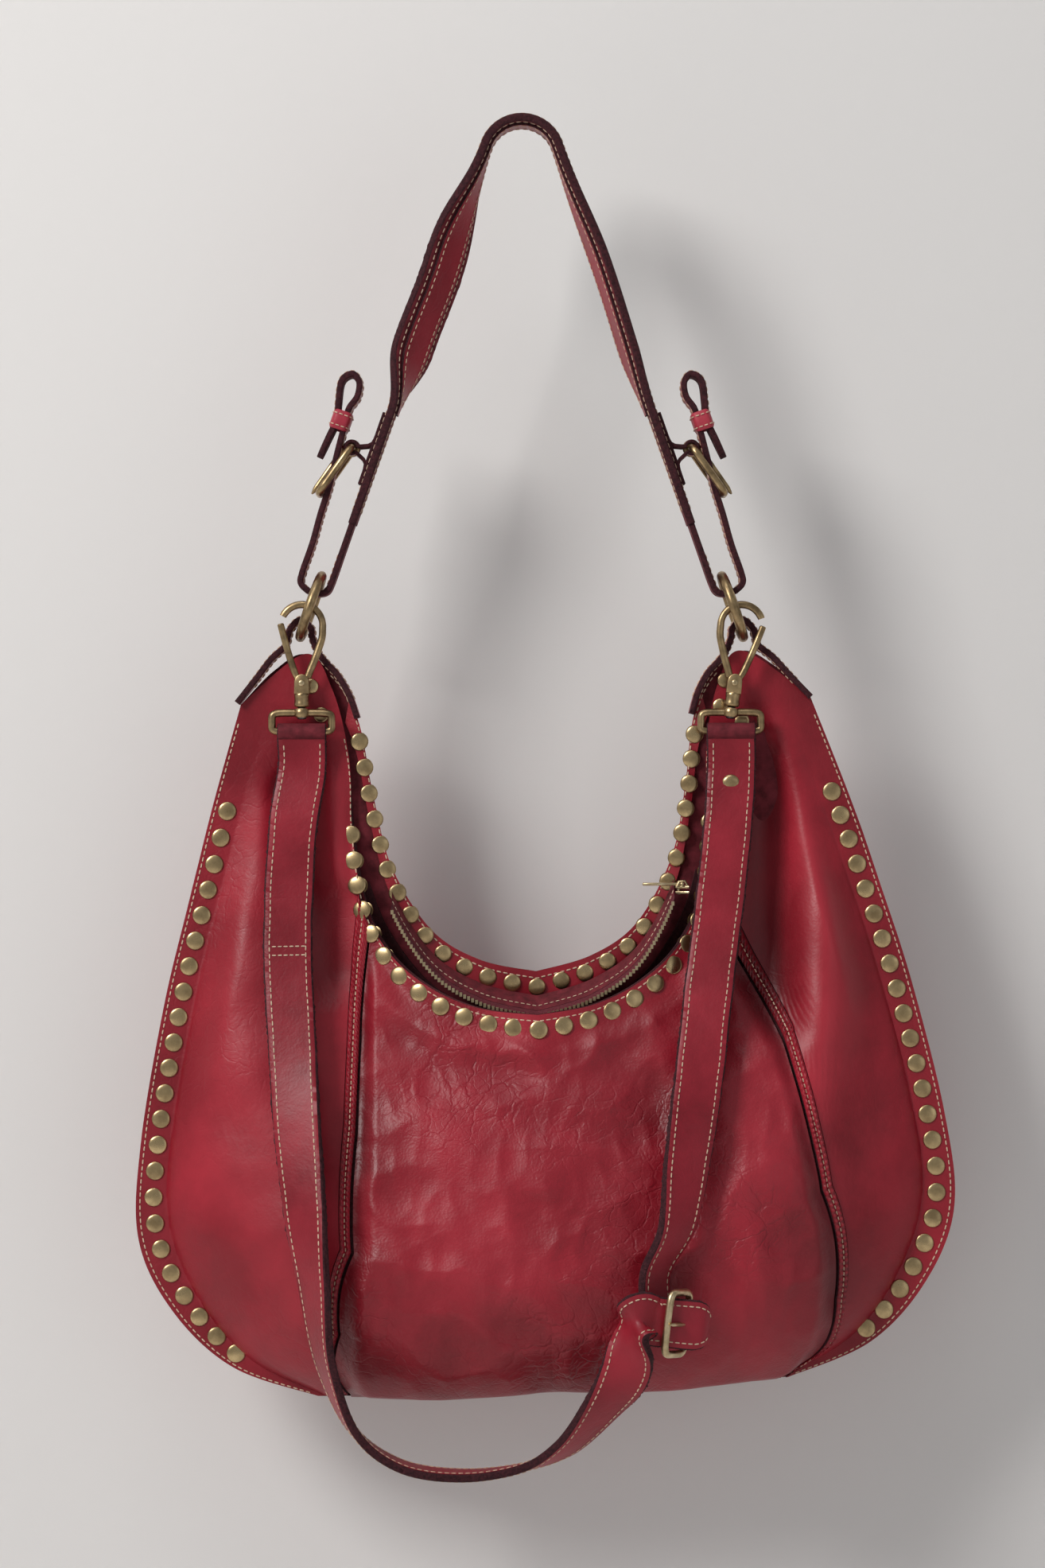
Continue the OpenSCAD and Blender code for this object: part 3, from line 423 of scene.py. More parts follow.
# Round tube along a path; radius may change along it
def tubePoints(path, radius, sides=12, closed=False, squash=(1, 1), up=(0, 1, 0)):
    path = np.asarray(path, float)
    if closed:
        along = unit(np.roll(path, -1, 0) - np.roll(path, 1, 0))
    else:
        along = unit(np.gradient(path, axis=0))
    u = unit(np.cross(along, np.broadcast_to(up, path.shape)))
    v = np.cross(along, u)
    ang = np.arange(sides) * 2 * math.pi / sides
    r = np.broadcast_to(radius, len(path))[:, None, None]
    return path[:, None] + r * (u[:, None] * np.cos(ang)[None, :, None] * squash[0]
                                + v[:, None] * np.sin(ang)[None, :, None] * squash[1])


def tube(path, radius, sides=12, closed=False, squash=(1, 1), up=(0, 1, 0)):
    pts = tubePoints(path, radius, sides, closed, squash, up)
    n = len(pts)
    faces = gridQuads(n, sides, 0, True).tolist()
    if closed:
        last = (n - 1) * sides
        faces += [[last + j, j, (j + 1) % sides, last + (j + 1) % sides] for j in range(sides)]
    else:
        faces += [list(range(sides)), list(range((n - 1) * sides, n * sides))]
    return pts.reshape(-1, 3), faces


def join(parts):
    pts, faces, index, start = [], [], [], 0
    for k, part in enumerate(parts):
        p, f = part[0], part[1]
        pts.append(np.asarray(p).reshape(-1, 3))
        faces += [[i + start for i in face] for face in f]
        index += [part[2] if len(part) > 2 else 0] * len(f)
        start += len(pts[-1])
    return np.concatenate(pts), faces, index


# Turned solid: a profile of radius and height about an axis
def turned(profile, centre, axis, sides=28):
    axis = unit(axis)
    u = unit(np.cross(axis, (0.3, 1, 0.2)))
    v = np.cross(axis, u)
    ang = np.arange(sides) * 2 * math.pi / sides
    prof = np.asarray(profile, float)
    pts = (np.asarray(centre, float) + prof[:, 1][:, None, None] * axis
           + prof[:, 0][:, None, None] * (u * np.cos(ang)[:, None] + v * np.sin(ang)[:, None])[None])
    faces = gridQuads(len(prof), sides, 0, True).tolist()
    faces += [list(range(sides)), list(range((len(prof) - 1) * sides, len(prof) * sides))]
    return pts.reshape(-1, 3), faces


# Plate cut from an outline in a plane, its edges rounded off
def plate(outline, origin, x, z, thick, round_=0.5):
    o = np.asarray(outline, float)
    y = unit(np.cross(z, x))
    n = len(o)
    tangent = unit(np.roll(o, -1, 0) - np.roll(o, 1, 0))
    inward = np.stack([-tangent[:, 1], tangent[:, 0]], 1)
    area = np.sum(o[:, 0] * np.roll(o[:, 1], -1) - np.roll(o[:, 0], -1) * o[:, 1])
    inward = inward * (1 if area > 0 else -1)
    rings = []
    for depth, inset in ((-thick / 2, round_), (-thick / 2 + round_ * 0.35, round_ * 0.3),
                         (-thick / 2 + round_, 0), (thick / 2 - round_, 0),
                         (thick / 2 - round_ * 0.35, round_ * 0.3), (thick / 2, round_)):
        q = o + inward * inset
        rings.append(origin + q[:, :1] * x + q[:, 1:] * z + depth * y)
    pts = np.stack(rings)
    faces = gridQuads(6, n, 0, True).tolist() + [list(range(n)), list(range(5 * n, 6 * n))]
    return pts.reshape(-1, 3), faces


# ---- the soft body ----
ringRight = jointPos("ring_right_turn")
ringX, ringZ = ringRight[0], ringRight[2]
backLo, backHi = boxOf("back_panel")
frontLo, frontHi = boxOf("front_panel_middle")
body = {
    "nominalWidth": 412.0, "nominalDrop": 394.0, "mouthFront": 204.0, "mouthBack": 184.0,
    "sway": 0.04, "leather": 2.2, "margin": 14.0, "rise": 5.0, "weltWidth": 10.0,
    "frontGap": 27.0, "backGap": 12.0, "puff": 7.0, "studInset": 8.5, "studSize": 9.4, "studPitch": 12.4,
}
kx = (backHi[0] - backLo[0]) / 411.4
kz = (backHi[2] - backLo[2]) / 374.7
depth = 56.0 * (backHi[1] / 55.9)
flatU = 1 - body["margin"] / (body["nominalWidth"] / 2)
sideLine = [(118 * kx, -392 * kz), (160 * kx, -376 * kz), (189 * kx, -347 * kz), (205 * kx, -310 * kz),
            (202 * kx, -262 * kz), (188 * kx, -195 * kz), (174 * kx, -145 * kz), (160 * kx, -98 * kz),
            (ringX + 37, -47)]
bottomLine = [(0, -394 * kz), (60 * kx, -394 * kz), (118 * kx, -392 * kz)]
mf, mb = body["mouthFront"], body["mouthBack"]
frontLine = [(0, -mf), (28, 4 - mf), (52, 15 - mf), (72, 33 - mf), (84, 58 - mf), (89, -108), (90, -72),
             (ringX - 9, -40), (ringX + 4, -23), (ringX + 37, -47)]
backLine = [(0, -mb), (28, 7 - mb), (52, 23 - mb), (71, 56 - mb), (79, -92), (84, -58), (ringX - 13, -36),
            (ringX + 4, -23), (ringX + 20, -31), (ringX + 37, -47)]


# Point of the body's flat pattern between its four outlines, mirrored left and right
def pattern(u, v, top):
    s, vv = np.abs(u), v[..., None]
    ss = s[..., None]
    b0, b1 = np.array(bottomLine[0], float), np.array(bottomLine[-1], float)
    t0, t1 = np.array(top[0], float), np.array(top[-1], float)
    p = (mix(spline(bottomLine, s), spline(top, s), vv) + mix(mix(b0, t0, vv), spline(sideLine, v), ss)
         - mix(mix(b0, b1, ss), mix(t0, t1, ss), vv))
    return np.where(u < 0, -p[..., 0], p[..., 0]), p[..., 1]


def bulge(u, v, gap):
    s = np.abs(u)
    across = np.maximum(0, 1 - np.minimum(s / flatU, 1) ** 2.4) ** 0.7
    up = np.where(v < 0.3, np.sqrt(np.maximum(0, 1 - ((0.3 - np.minimum(v, 0.3)) / 0.3) ** 2)), 1)
    w = smooth((v - 0.3) / 0.7)
    return (depth - body["leather"]) * across * up * (1 - w) + gap * (1 - smooth(s / 0.62)) * w


def middle(side, u, v):
    x, z = pattern(u, v, frontLine if side < 0 else backLine)
    y = side * bulge(u, v, body["frontGap"] if side < 0 else body["backGap"])
    return np.stack([x, y, z], -1)


# Direction out of the body; along the flat margins it turns to point straight out
def outward(side, u, v):
    d = 0.01
    du = middle(side, np.minimum(u + d, 1), v) - middle(side, np.maximum(u - d, -1), v)
    dv = middle(side, u, np.minimum(v + d, 1)) - middle(side, u, np.maximum(v - d, 0))
    n = unit(np.cross(du, dv) * (1 if side < 0 else -1))
    n = np.where(np.linalg.norm(n, axis=-1, keepdims=True) < 0.5, np.array([0.0, side, 0.0]), n)
    edge = np.maximum(smooth((np.abs(u) - 0.86) / 0.06), smooth((0.05 - v) / 0.04))[..., None]
    return unit(mix(n, unit(np.array([0.0, side, 0.0]) + n * 0.2), edge))


# Folds of the hanging leather: lines in X and Z, how far they stand out, and their half width
folds = [
    ([(136, -268), (147, -300), (153, -340), (154, -400), (150, -455), (142, -500)], 10.0, 13.0),
    ([(118, -272), (123, -310), (123, -360), (124, -410), (131, -450)], -13.0, 11.0),
    ([(168, -420), (172, -480), (165, -530)], -2.5, 16.0),
    ([(-133, -280), (-146, -325), (-151, -380), (-148, -440), (-135, -500)], 5.0, 15.0),
    ([(-118, -292), (-112, -340), (-102, -395), (-98, -430)], -8.0, 10.0),
    ([(-96, -300), (-93, -340), (-88, -372)], 4.0, 6.0),
    ([(-136, -300), (-128, -312), (-120, -318)], -4.0, 5.0),
    ([(-150, -330), (-168, -370), (-176, -420)], -2.0, 9.0),
    ([(40, -448), (62, -470), (74, -510), (70, -560)], -2.5, 9.0),
    ([(-60, -470), (-20, -500), (30, -512)], 2.0, 8.0),
    ([(-70, -560), (-30, -582), (20, -586)], -1.8, 8.0),
    ([(96, -446), (112, -480), (118, -530)], 3.0, 12.0),
    ([(-84, -430), (-40, -452), (10, -458), (60, -446)], -3.0, 7.0),
]


def foldAt(x, z):
    total = np.zeros_like(x)
    for line, height, width in folds:
        fine = spline(line, np.linspace(0, 1, 90))
        best = np.full(x.shape, 1e9)
        where = np.zeros_like(x)
        for k in range(len(fine)):
            d = (x - fine[k, 0]) ** 2 + (z - fine[k, 1]) ** 2
            closer = d < best
            best = np.where(closer, d, best)
            where = np.where(closer, k / (len(fine) - 1), where)
        ends = smooth(where / 0.25) * smooth((1 - where) / 0.25)
        total += height * np.exp(-best / (2 * width ** 2)) * (0.15 + 0.85 * ends)
    return total


def hung(p):
    x, y, z = p[..., 0], p[..., 1], p[..., 2]
    return np.stack([x - body["sway"] * z, y,
                     z + body["sway"] * x * np.clip(-z / 120, 0, 1) + ringZ], -1)


# Point of the body raised by h over its middle surface, with its folds; also its map of wear and painted light
def raised(side, u, v, h, wornAndLit=False, rough=0.0):
    u, v = np.broadcast_arrays(np.asarray(u, float), np.asarray(v, float))
    p = hung(middle(side, u, v) + outward(side, u, v) * np.asarray(h)[..., None] if np.ndim(h)
             else middle(side, u, v) + outward(side, u, v) * h)
    fade = smooth((flatU - np.abs(u)) / 0.10)
    if side < 0:
        f = foldAt(p[..., 0], p[..., 2])
    else:
        f = 3.0 * ripple(p[..., 0], p[..., 2] * 0.5, 120, 5)
    f = f * fade * smooth(v / 0.12)
    f = f + ripple(p[..., 0], p[..., 2], 34, 11) * 0.5 * fade
    if rough:
        wrinkle = np.abs(ripple(p[..., 0], p[..., 2] * 1.3, 58, 21)) * 2.2 + np.abs(ripple(p[..., 0] * 1.2, p[..., 2], 27, 23)) * 0.9
        f = f + rough * fade * (1.2 - wrinkle) * 0.8 * smooth((0.96 - v) / 0.06)
    lip = smooth((v - 0.9) / 0.1) * (1 - smooth((np.abs(u) - 0.5) / 0.15))
    f = f + lip * 1.6 * np.sin(u * 26 + (1.3 if side < 0 else 0.2))
    q = p.copy()
    q[..., 1] += side * f
    if not wornAndLit:
        return q
    # Map of wear and painted light: lighter on fold ridges (rubbed wear and painted highlight), painted shade in fold
    # hollows, random tone patches, and darker toward the side seams
    height = np.clip(f / 11.0, -1, 1)
    patch = ripple(p[..., 0], p[..., 2], 90, 31) * 0.10
    edge = 0.16 * smooth((np.abs(u) - 0.90) / 0.06)
    return q, np.clip(0.52 + 0.42 * height + patch - edge, 0, 1)


weltLeft = [0.84, 0.58, 0.44, 0.434, 0.449, 0.45]
weltRight = [0.97, 0.80, 0.68, 0.655, 0.56, 0.45]


def weltAt(side, v):
    return side * np.interp(v, np.linspace(0, 1, 6), weltLeft if side < 0 else weltRight)


def halfWelt(v):
    x, z = pattern(np.ones_like(v), v, frontLine)
    return body["weltWidth"] / 2 / np.maximum(110, np.hypot(x, z))


fine = 1.0


# Rows packed where the bottom rolls under, then even up to the mouth
def rowsOf(count):
    a = 0.3 * (1 - np.cos(np.linspace(0, math.pi / 2, int(count * 0.32))))
    b = np.linspace(0.3, 1, int(count * 0.68) + 1)[1:]
    return np.concatenate([a, b])


vs = rowsOf(int(210 * fine))


def panel(name, side, low, high, cols, node, materials, squeeze=1.0, heights=(0.1, 2.2), rough=0.0,
          puff=None):
    t = np.linspace(0, 1, int(cols * fine))[None]
    if squeeze != 1.0:
        t = t ** squeeze if squeeze > 0 else 1 - (1 - t) ** -squeeze
    u = low(vs)[:, None] * (1 - t) + high(vs)[:, None] * t
    v = np.broadcast_to(vs[:, None], u.shape)
    h = np.full(u.shape, heights[1])
    if puff:
        rollX = smooth(np.minimum(t, 1 - t) / puff[1])
        h = h + puff[0] * np.broadcast_to(rollX, u.shape) * smooth(v / 0.06) * smooth((0.955 - v) / 0.07)
    outer, wornAndLit = raised(side, u, v, h, True, rough)
    inner = raised(side, u, v, h - (heights[1] - heights[0]), False, rough)
    # Painted shade where the puffed middle panel rolls down toward the welts at its sides
    if puff:
        wornAndLit = wornAndLit - 0.35 * (1 - np.broadcast_to(rollX, u.shape))
    return settle(shell(name, outer, inner, materials, wornAndLit), "bag", (node,))


flat = ("satin", "flesh", "edge")
panel("sidePanelLeft", -1, lambda v: -np.ones_like(v), lambda v: weltAt(-1, v) - halfWelt(v) - 0.002, 120,
      "front_panel_left", flat, 1.25)
panel("sidePanelRight", -1, lambda v: weltAt(1, v) + halfWelt(v) + 0.002, lambda v: np.ones_like(v), 130,
      "front_panel_right", flat, -1.25)
panel("middlePanel", -1, lambda v: weltAt(-1, v) + halfWelt(v) + 0.008,
      lambda v: weltAt(1, v) - halfWelt(v) - 0.008, 190, "front_panel_middle",
      ("crinkled", "flesh", "edge"), 1.0, (0.5, 2.4), 1.0, (4.5, 0.055))
panel("backLeather", 1, lambda v: -np.ones_like(v), lambda v: np.ones_like(v), 200, "back_panel",
      flat)
print("panels built")


# Welt: a strip gathered into small puckers on both sides of its stitching
def welt(side, name):
    rows = np.linspace(0.02, 0.985, int(520 * fine))
    t = np.linspace(-1, 1, 15)[None]
    v = np.broadcast_to(rows[:, None], (len(rows), 15))
    u = weltAt(side, v) + halfWelt(rows)[:, None] * t
    s = lengthAlong(raised(-1, weltAt(side, rows), rows, 3.0))[:, None]
    pucker = np.sin(s * 2.1 + 0.9 * np.sin(s * 0.31)) * (1 - np.abs(t)) * np.abs(t) * 2.4
    pillow = (1 - np.abs(np.abs(t) - 0.5) * 2) * 1.5
    h = 2.6 + pillow + pucker * 0.55
    outer, wornAndLit = raised(-1, u, v, h, True)
    inner = raised(-1, u, v, np.full(u.shape, 1.0))
    # Painted highlight on the pucker tops, painted shade in their dips and along the welt's two edges where it meets
    # the panels
    wornAndLit = wornAndLit + pucker * 0.35 - 0.25 * smooth(np.abs(t) * 6 - 5)
    settle(shell(name, outer, inner, ("crinkled", "flesh", "edge"), wornAndLit), "bag",
           ("welt_left" if side < 0 else "welt_right",))
    line = raised(-1, weltAt(side, rows), rows, 2.75)
    return stitchRow(line, outward(-1, weltAt(side, rows), rows), 2.9, 2.0, 0.32)


bagStitches = [welt(-1, "weltLeft"), welt(1, "weltRight")]


# Height on the patch of a line that runs a given distance below the mouth's edge
def below(side, u, drop):
    a, b = middle(side, u, np.ones_like(u)), middle(side, u, np.full_like(u, 0.9))
    return 1 - drop / np.linalg.norm(a - b, axis=-1) * 0.1


for side, name, node in ((-1, "mouthFacingFront", "mouth_band_front"), (1, "mouthFacingBack", "mouth_band_back")):
    u = np.broadcast_to(np.linspace(-0.62, 0.62, int(180 * fine))[None], (10, int(180 * fine)))
    drops = np.linspace(15, -0.3, 10)[:, None]
    v = 1 - drops / np.linalg.norm(middle(side, u, np.ones_like(u)) - middle(side, u, np.full_like(u, 0.9)), axis=-1) * 0.1
    outer = raised(side, u, v, -0.25)
    inner = raised(side, u, v, -1.9)
    settle(shell(name, inner, outer, ("satin" if side > 0 else "strap", "flesh", "edge")), "bag", (node,))

for side, name, node in ((-1, "liningFront", "lining_front"), (1, "liningBack", "lining_back")):
    v = np.linspace(0.045, 0.89, 60)[:, None]
    reach = mix(0.87, 0.42, smooth((v - 0.5) / 0.4))
    u = reach * np.linspace(-1, 1, 70)[None]
    v = np.broadcast_to(v, u.shape)
    sag = np.abs(ripple(u * 180, v * 300, 60, 41)) * 0.8
    settle(shell(name, raised(side, u, v, -0.5), raised(side, u, v, -1.3 - sag), ("lining", "lining", "lining")),
           "bag", (node,))

# Stitching along the side margins, outside the studs, and along both mouth edges
for side in (-1, 1):
    v = np.linspace(0.02, 0.97, 400)
    edge = np.linalg.norm(np.stack(pattern(np.ones_like(v), v, frontLine), -1)
                          - np.stack([np.zeros_like(v), mix(-394 * kz, -mf, v)], -1), axis=-1)
    u = side * (1 - 2.4 / edge)
    bagStitches.append(stitchRow(raised(-1, u, v, 2.25), outward(-1, u, v)))
    bagStitches.append(stitchRow(raised(1, u, v, 2.25), outward(1, u, v)))
    u = np.linspace(-0.70, 0.70, 420)
    for drop, h in ((3.2, 2.25), (3.2, -1.95)):
        vv = below(side, u, drop)
        bagStitches.append(stitchRow(raised(side, u, vv, h), outward(side, u, vv) * (1 if h > 0 else -1)))


# ---- studs: domes on a rolled rim ----
def studParts(place, normal, size, low=0.0):
    r = size / 2
    prof = [(r * 0.55, low - 0.3), (r * 0.97, low), (r, low + 0.3), (r * 0.98, low + 0.55), (r * 0.9, low + 0.8),
            (r * 0.72, low + 1.02), (r * 0.45, low + 1.2), (r * 0.14, low + 1.28)]
    return turned(prof, place, normal, 20)


seamV = np.linspace(0, 1, 241)
seam = lengthAlong(spline(sideLine, seamV))
for side, name in ((-1, "left"), (1, "right")):
    total = seam[-1]
    first, last = 52.0, 62.0
    count = int((total - first - last) // body["studPitch"])
    v = np.interp(first + np.arange(count + 1) * (total - first - last) / count, seam, seamV)
    sx = spline(sideLine, v)
    u = side * (1 - body["studInset"] / np.hypot(sx[:, 0], sx[:, 1] - mix(-394 * kz, -mf, v)))
    p = raised(-1, u, v, 0.0)
    q = raised(1, u, v, 0.0)
    parts = [studParts((a[0], a[1] - 2.2, a[2]), (0.0, -1, 0.0), body["studSize"]) for a in p]
    parts += [studParts((a[0], a[1] + 2.2, a[2]), (0.0, 1, 0.0), body["studSize"] - 0.8) for a in q]
    pts, faces, index = join(parts)
    settle(makeObject("edgeStuds_" + name, pts, faces, ["studBrass"], index), "bag", ("side_studs_" + name,))

for side, line, name in ((-1, frontLine, "front"), (1, backLine, "back")):
    t = np.linspace(0, 0.6, 121)
    run = lengthAlong(spline(line, t))
    count = int(round(run[-1] / body["studPitch"]))
    half = np.interp(np.arange(count) * run[-1] / count, run, t)
    u = np.concatenate([-half[:0:-1], half])
    v = below(side, u, 7.5)
    n = outward(side, u, v)
    p, q = raised(side, u, v, 2.2), raised(side, u, v, -1.9)
    parts = [studParts(a, b, body["studSize"]) for a, b in zip(p, n)]
    parts += [studParts(a, -b, body["studSize"] - 0.4) for a, b in zip(q, n)]
    pts, faces, index = join(parts)
    settle(makeObject("mouthStuds_" + name, pts, faces, ["studBrass"], index), "bag", ("mouth_studs_" + name,))

corner = {"left": [(0.846, 0.962), (0.79, 0.955)], "right": [(0.804, 0.985), (0.76, 0.975), (0.81, 0.93)]}
for name, places in corner.items():
    side = -1 if name == "left" else 1
    parts = []
    for a, b in places:
        u, v = np.array([side * a]), np.array([b])
        parts.append(studParts(raised(-1, u, v, 2.2)[0], outward(-1, u, v)[0], 7.8))
    pts, faces, index = join(parts)
    settle(makeObject("cornerRivets_" + name, pts, faces, ["studBrass"], index), "bag", ("tab_rivets_" + name,))
print("studs built")


# ---- open top zip ----
zipReach = 0.33


def flangeRoot(side, u):
    p = middle(side, u, below(side, u, 12)) + outward(side, u, below(side, u, 12)) * -3.8
    return hung(p)


falls = {-1: (np.array([0, 4, -12.0]), np.array([0, 0.6, -7.0])),
         1: (np.array([0, -10, -7.0]), np.array([0, -6.4, -2.4]))}
for side, name in ((-1, "front"), (1, "back")):
    u = np.linspace(-zipReach, zipReach, 90)
    root = flangeRoot(side, u)
    fall, tapeFall = falls[side]
    n = unit(np.cross([1.0, 0, 0], fall)) * 0.6
    t = np.linspace(0, 1, 8)[:, None, None]
    soft = np.sin(np.linspace(0, 9, 90))[None, :, None] * np.array([0, 0.5, 0.2]) * t
    face = root[None] + fall * t + soft
    settle(shell("zipFlange_" + name, face + n, face - n, ("pale", "flesh", "edge")), "bag",
           ("zip_flange_" + name,))
    for s in (-1, 1):
        bagStitches.append(stitchRow(face[5] + n * s * 1.15, np.broadcast_to(n * s, face[5].shape), 3.0, 2.0, 0.28))
    n2 = unit(np.cross([1.0, 0, 0], tapeFall)) * 0.4
    tape = (root + fall + soft[-1])[None] + tapeFall * t * 0.96
    pts, faces, index = join([(np.concatenate([(tape + n2).reshape(-1, 3), (tape - n2).reshape(-1, 3)]), [])])
    rows, cols = tape.shape[:2]
    i = np.arange(rows * cols).reshape(rows, cols)
    loop = np.concatenate([i[0, :-1], i[:-1, -1], i[-1, :0:-1], i[:0:-1, 0]])
    rim = np.stack([loop, np.roll(loop, -1), np.roll(loop, -1) + rows * cols, loop + rows * cols], -1)
    faces = np.concatenate([gridQuads(rows, cols), gridQuads(rows, cols, rows * cols)[:, ::-1], rim]).tolist()
    parts = [(pts, faces, 0)]
    at = np.arange(1.0, lengthAlong(tape[-1])[-1] - 1, 2.2)
    s = lengthAlong(tape[-1])
    box = np.array([(x, y, z) for x in (-0.7, 0.7) for y in (-0.9, 0.9) for z in (-1.2, 0.9)])
    sides = [[0, 1, 3, 2], [4, 6, 7, 5], [0, 4, 5, 1], [2, 3, 7, 6], [0, 2, 6, 4], [1, 5, 7, 3]]
    for a in at:
        c = np.array([np.interp(a, s, tape[-1][:, k]) for k in range(3)])
        parts.append((c + box, sides, 1))
    pts, faces, index = join(parts)
    settle(makeObject("zipTape_" + name, pts, faces, ["tape", "lightBrass"], index), "bag",
           ("zip_tape_" + name,))

lo, hi = boxOf("zip_slider")
c = (lo + hi) / 2
outline = [(-3.4, -2.0), (0.5, -2.2), (3.2, -3.4), (3.5, -2.6), (3.5, 2.6), (3.2, 3.4), (0.5, 2.2), (-3.4, 2.0)]
parts = [plate(outline, np.array([c[0], c[1], lo[2] + 1.0]), np.array([1.0, 0, 0]), np.array([0.0, 1, 0]), 1.4, 0.4),
         plate(outline, np.array([c[0], c[1], lo[2] + 3.7]), np.array([1.0, 0, 0]), np.array([0.0, 1, 0]), 1.4, 0.4),
         turned([(0.2, -2.6), (1.0, -2.4), (1.0, 2.4), (0.2, 2.6)], (c[0] - 1.8, c[1], lo[2] + 2.4), (0, 0, 1), 12),
         tube([(c[0] - 2.6, c[1] - 2.6, lo[2] + 4.2), (c[0] - 1.6, c[1] - 2.6, hi[2] - 0.6), (c[0] + 1.2, c[1] - 2.6, hi[2] - 0.2),
               (c[0] + 2.6, c[1] - 2.6, lo[2] + 4.2)], 0.6, 8),
         tube([(c[0] - 2.6, c[1] + 2.6, lo[2] + 4.2), (c[0] - 1.6, c[1] + 2.6, hi[2] - 0.6), (c[0] + 1.2, c[1] + 2.6, hi[2] - 0.2),
               (c[0] + 2.6, c[1] + 2.6, lo[2] + 4.2)], 0.6, 8)]
pts, faces, index = join(parts)
settle(makeObject("zipSlider", pts, faces, ["lightBrass"], index), "bag", ("zip_slider",))
pivot = jointPos("zip_pull_flip")
lo, hi = boxOf("zip_pull")
pullLength = pivot[0] - lo[0]
outline = [(-0.9, -0.9), (3, -1.2), (pullLength * 0.4, -1.3), (pullLength * 0.5, -2.5), (pullLength - 2, -2.6),
           (pullLength, -1.4), (pullLength, 1.4), (pullLength - 2, 2.6), (pullLength * 0.5, 2.5),
           (pullLength * 0.4, 1.3), (3, 1.2), (-0.9, 0.9)]
parts = [plate(outline, pivot, np.array([-1.0, 0, 0]), np.array([0.0, 1, 0]), 1.5, 0.4),
         turned([(0.5, -3.6), (0.9, -3.4), (0.9, 3.4), (0.5, 3.6)], pivot, (0, 1, 0), 12)]
pts, faces, index = join(parts)
settle(makeObject("zipPull", pts, faces, ["lightBrass"], index), "zip_pull", ("zip_pull",))
print("zip built")

# ---- strap, its ends and their fittings ----
axisRight = joints["ring_right_turn"]["axis"]
legAngle = math.atan2(axisRight[2], axisRight[0])
ringAt = {-1: jointPos("ring_left_turn"), 1: jointPos("ring_right_turn")}
outWay = {s: np.array([s * math.cos(legAngle), 0, math.sin(legAngle)]) for s in (-1, 1)}
upWay = {s: np.array([-s * math.sin(legAngle), 0, math.cos(legAngle)]) for s in (-1, 1)}
sideNames = {-1: "left", 1: "right"}


def onLeg(side, o, d, y=0.0):
    o, d, y = (np.asarray(q, float)[..., None] for q in (o, d, y))
    return ringAt[side] + o * outWay[side] + d * upWay[side] + y * np.array([0.0, 1, 0])


strap = {"width": 28.0, "tipWidth": 20.0, "thick": 4.0, "legLine": -6.1, "turnLeft": 0.72, "turnRight": 0.22,
         "peg": 19.6, "liningWidth": 17.6, "lap": 18.0}
legLength = math.sqrt(float(np.dot(ringAt[1], ringAt[1])) - (strap["peg"] + 0.0) ** 2)
legTop = float(np.dot(-ringAt[1], upWay[1]))


# Leg from d = low up to the peg, over it, and down the other leg; the legs turn about their own length
def overPeg(low, offset):
    n = int(150 * fine)
    d = np.linspace(low, legTop, n)
    arc = np.linspace(math.pi - legAngle, legAngle, int(60 * fine))
    r = strap["peg"] + offset
    top = np.stack([r * np.cos(arc), arc * 0, r * np.sin(arc)], 1)[1:-1]
    turn = smooth((legTop - d) / 60) * smooth((d - 106) / 34)
    legs = []
    for side, most in ((-1, strap["turnLeft"]), (1, strap["turnRight"])):
        a = turn * most
        face = outWay[side] * np.cos(a)[:, None] + np.array([0, 1, 0]) * np.sin(a)[:, None]
        across = np.cross(face, upWay[side] * -side)
        centre = onLeg(side, np.full(n, strap["legLine"]), d)
        wander = ripple(d, d * 0 + side * 40, 90, 61 + side) * 1.2 * turn
        centre = centre + outWay[side] * wander[:, None]
        legs.append((centre + face * offset, across * 1.0, d))
    path = np.concatenate([legs[0][0], top, legs[1][0][::-1]])
    across = np.concatenate([legs[0][1], np.tile([0.0, 1, 0], (len(top), 1)), legs[1][1][::-1]])
    d = np.concatenate([legs[0][2], np.full(len(top), legTop), legs[1][2][::-1]])
    return path, across, d


path, across, d = overPeg(46.0, 0.0)
if np.dot(across[5], [0, 1, 0]) < 0:
    across = -across
width = mix(strap["tipWidth"], strap["width"], smooth((d - 52) / 60))
width = width + 0.25 * ripple(d, d * 0.3, 26, 67)
settle(strapMesh("shoulderStrap", path, across, width, strap["thick"], seed=3, fuzz=0.2), "strap",
       ("shoulder_strap",))
along, acr, face = frames(path, across)
strapRows = []
for s in (-1, 1):
    off = acr * (s * (width / 2 - 3.2))[:, None]
    keep = slice(4, -4)
    strapRows.append(stitchRow((path + off + face * (strap["thick"] / 2 + 0.08))[keep], face[keep], 3.6, 2.5, 0.34))
    strapRows.append(stitchRow((path + off - face * (strap["thick"] / 2 + 0.05))[keep], -face[keep], 3.6, 2.5, 0.34))

path, across, d = overPeg(105.0, -2.75)
if np.dot(across[5], [0, 1, 0]) < 0:
    across = -across
settle(strapMesh("strapLining", path, across, strap["liningWidth"] + 0.2 * ripple(d, d * 0, 20, 3), 1.5,
                 ("flesh", "strap", "edge"), 0.15, 0.1, 5), "strap", ("strap_lining",))
along, acr, face = frames(path, across)
for s in (-1, 1):
    off = acr * (s * (strap["liningWidth"] / 2 - 2.0))
    strapRows.append(stitchRow((path + off - face * 0.82)[4:-4], -face[4:-4], 3.6, 2.4, 0.32))
for end in (0, -1):
    i = 8 if end == 0 else -9
    cross = path[i] + acr[i] * np.linspace(-6.5, 6.5, 20)[:, None] - face[i] * 0.85
    strapRows.append(stitchRow(cross, np.tile(-face[i], (20, 1)), 2.9, 2.0, 0.34))

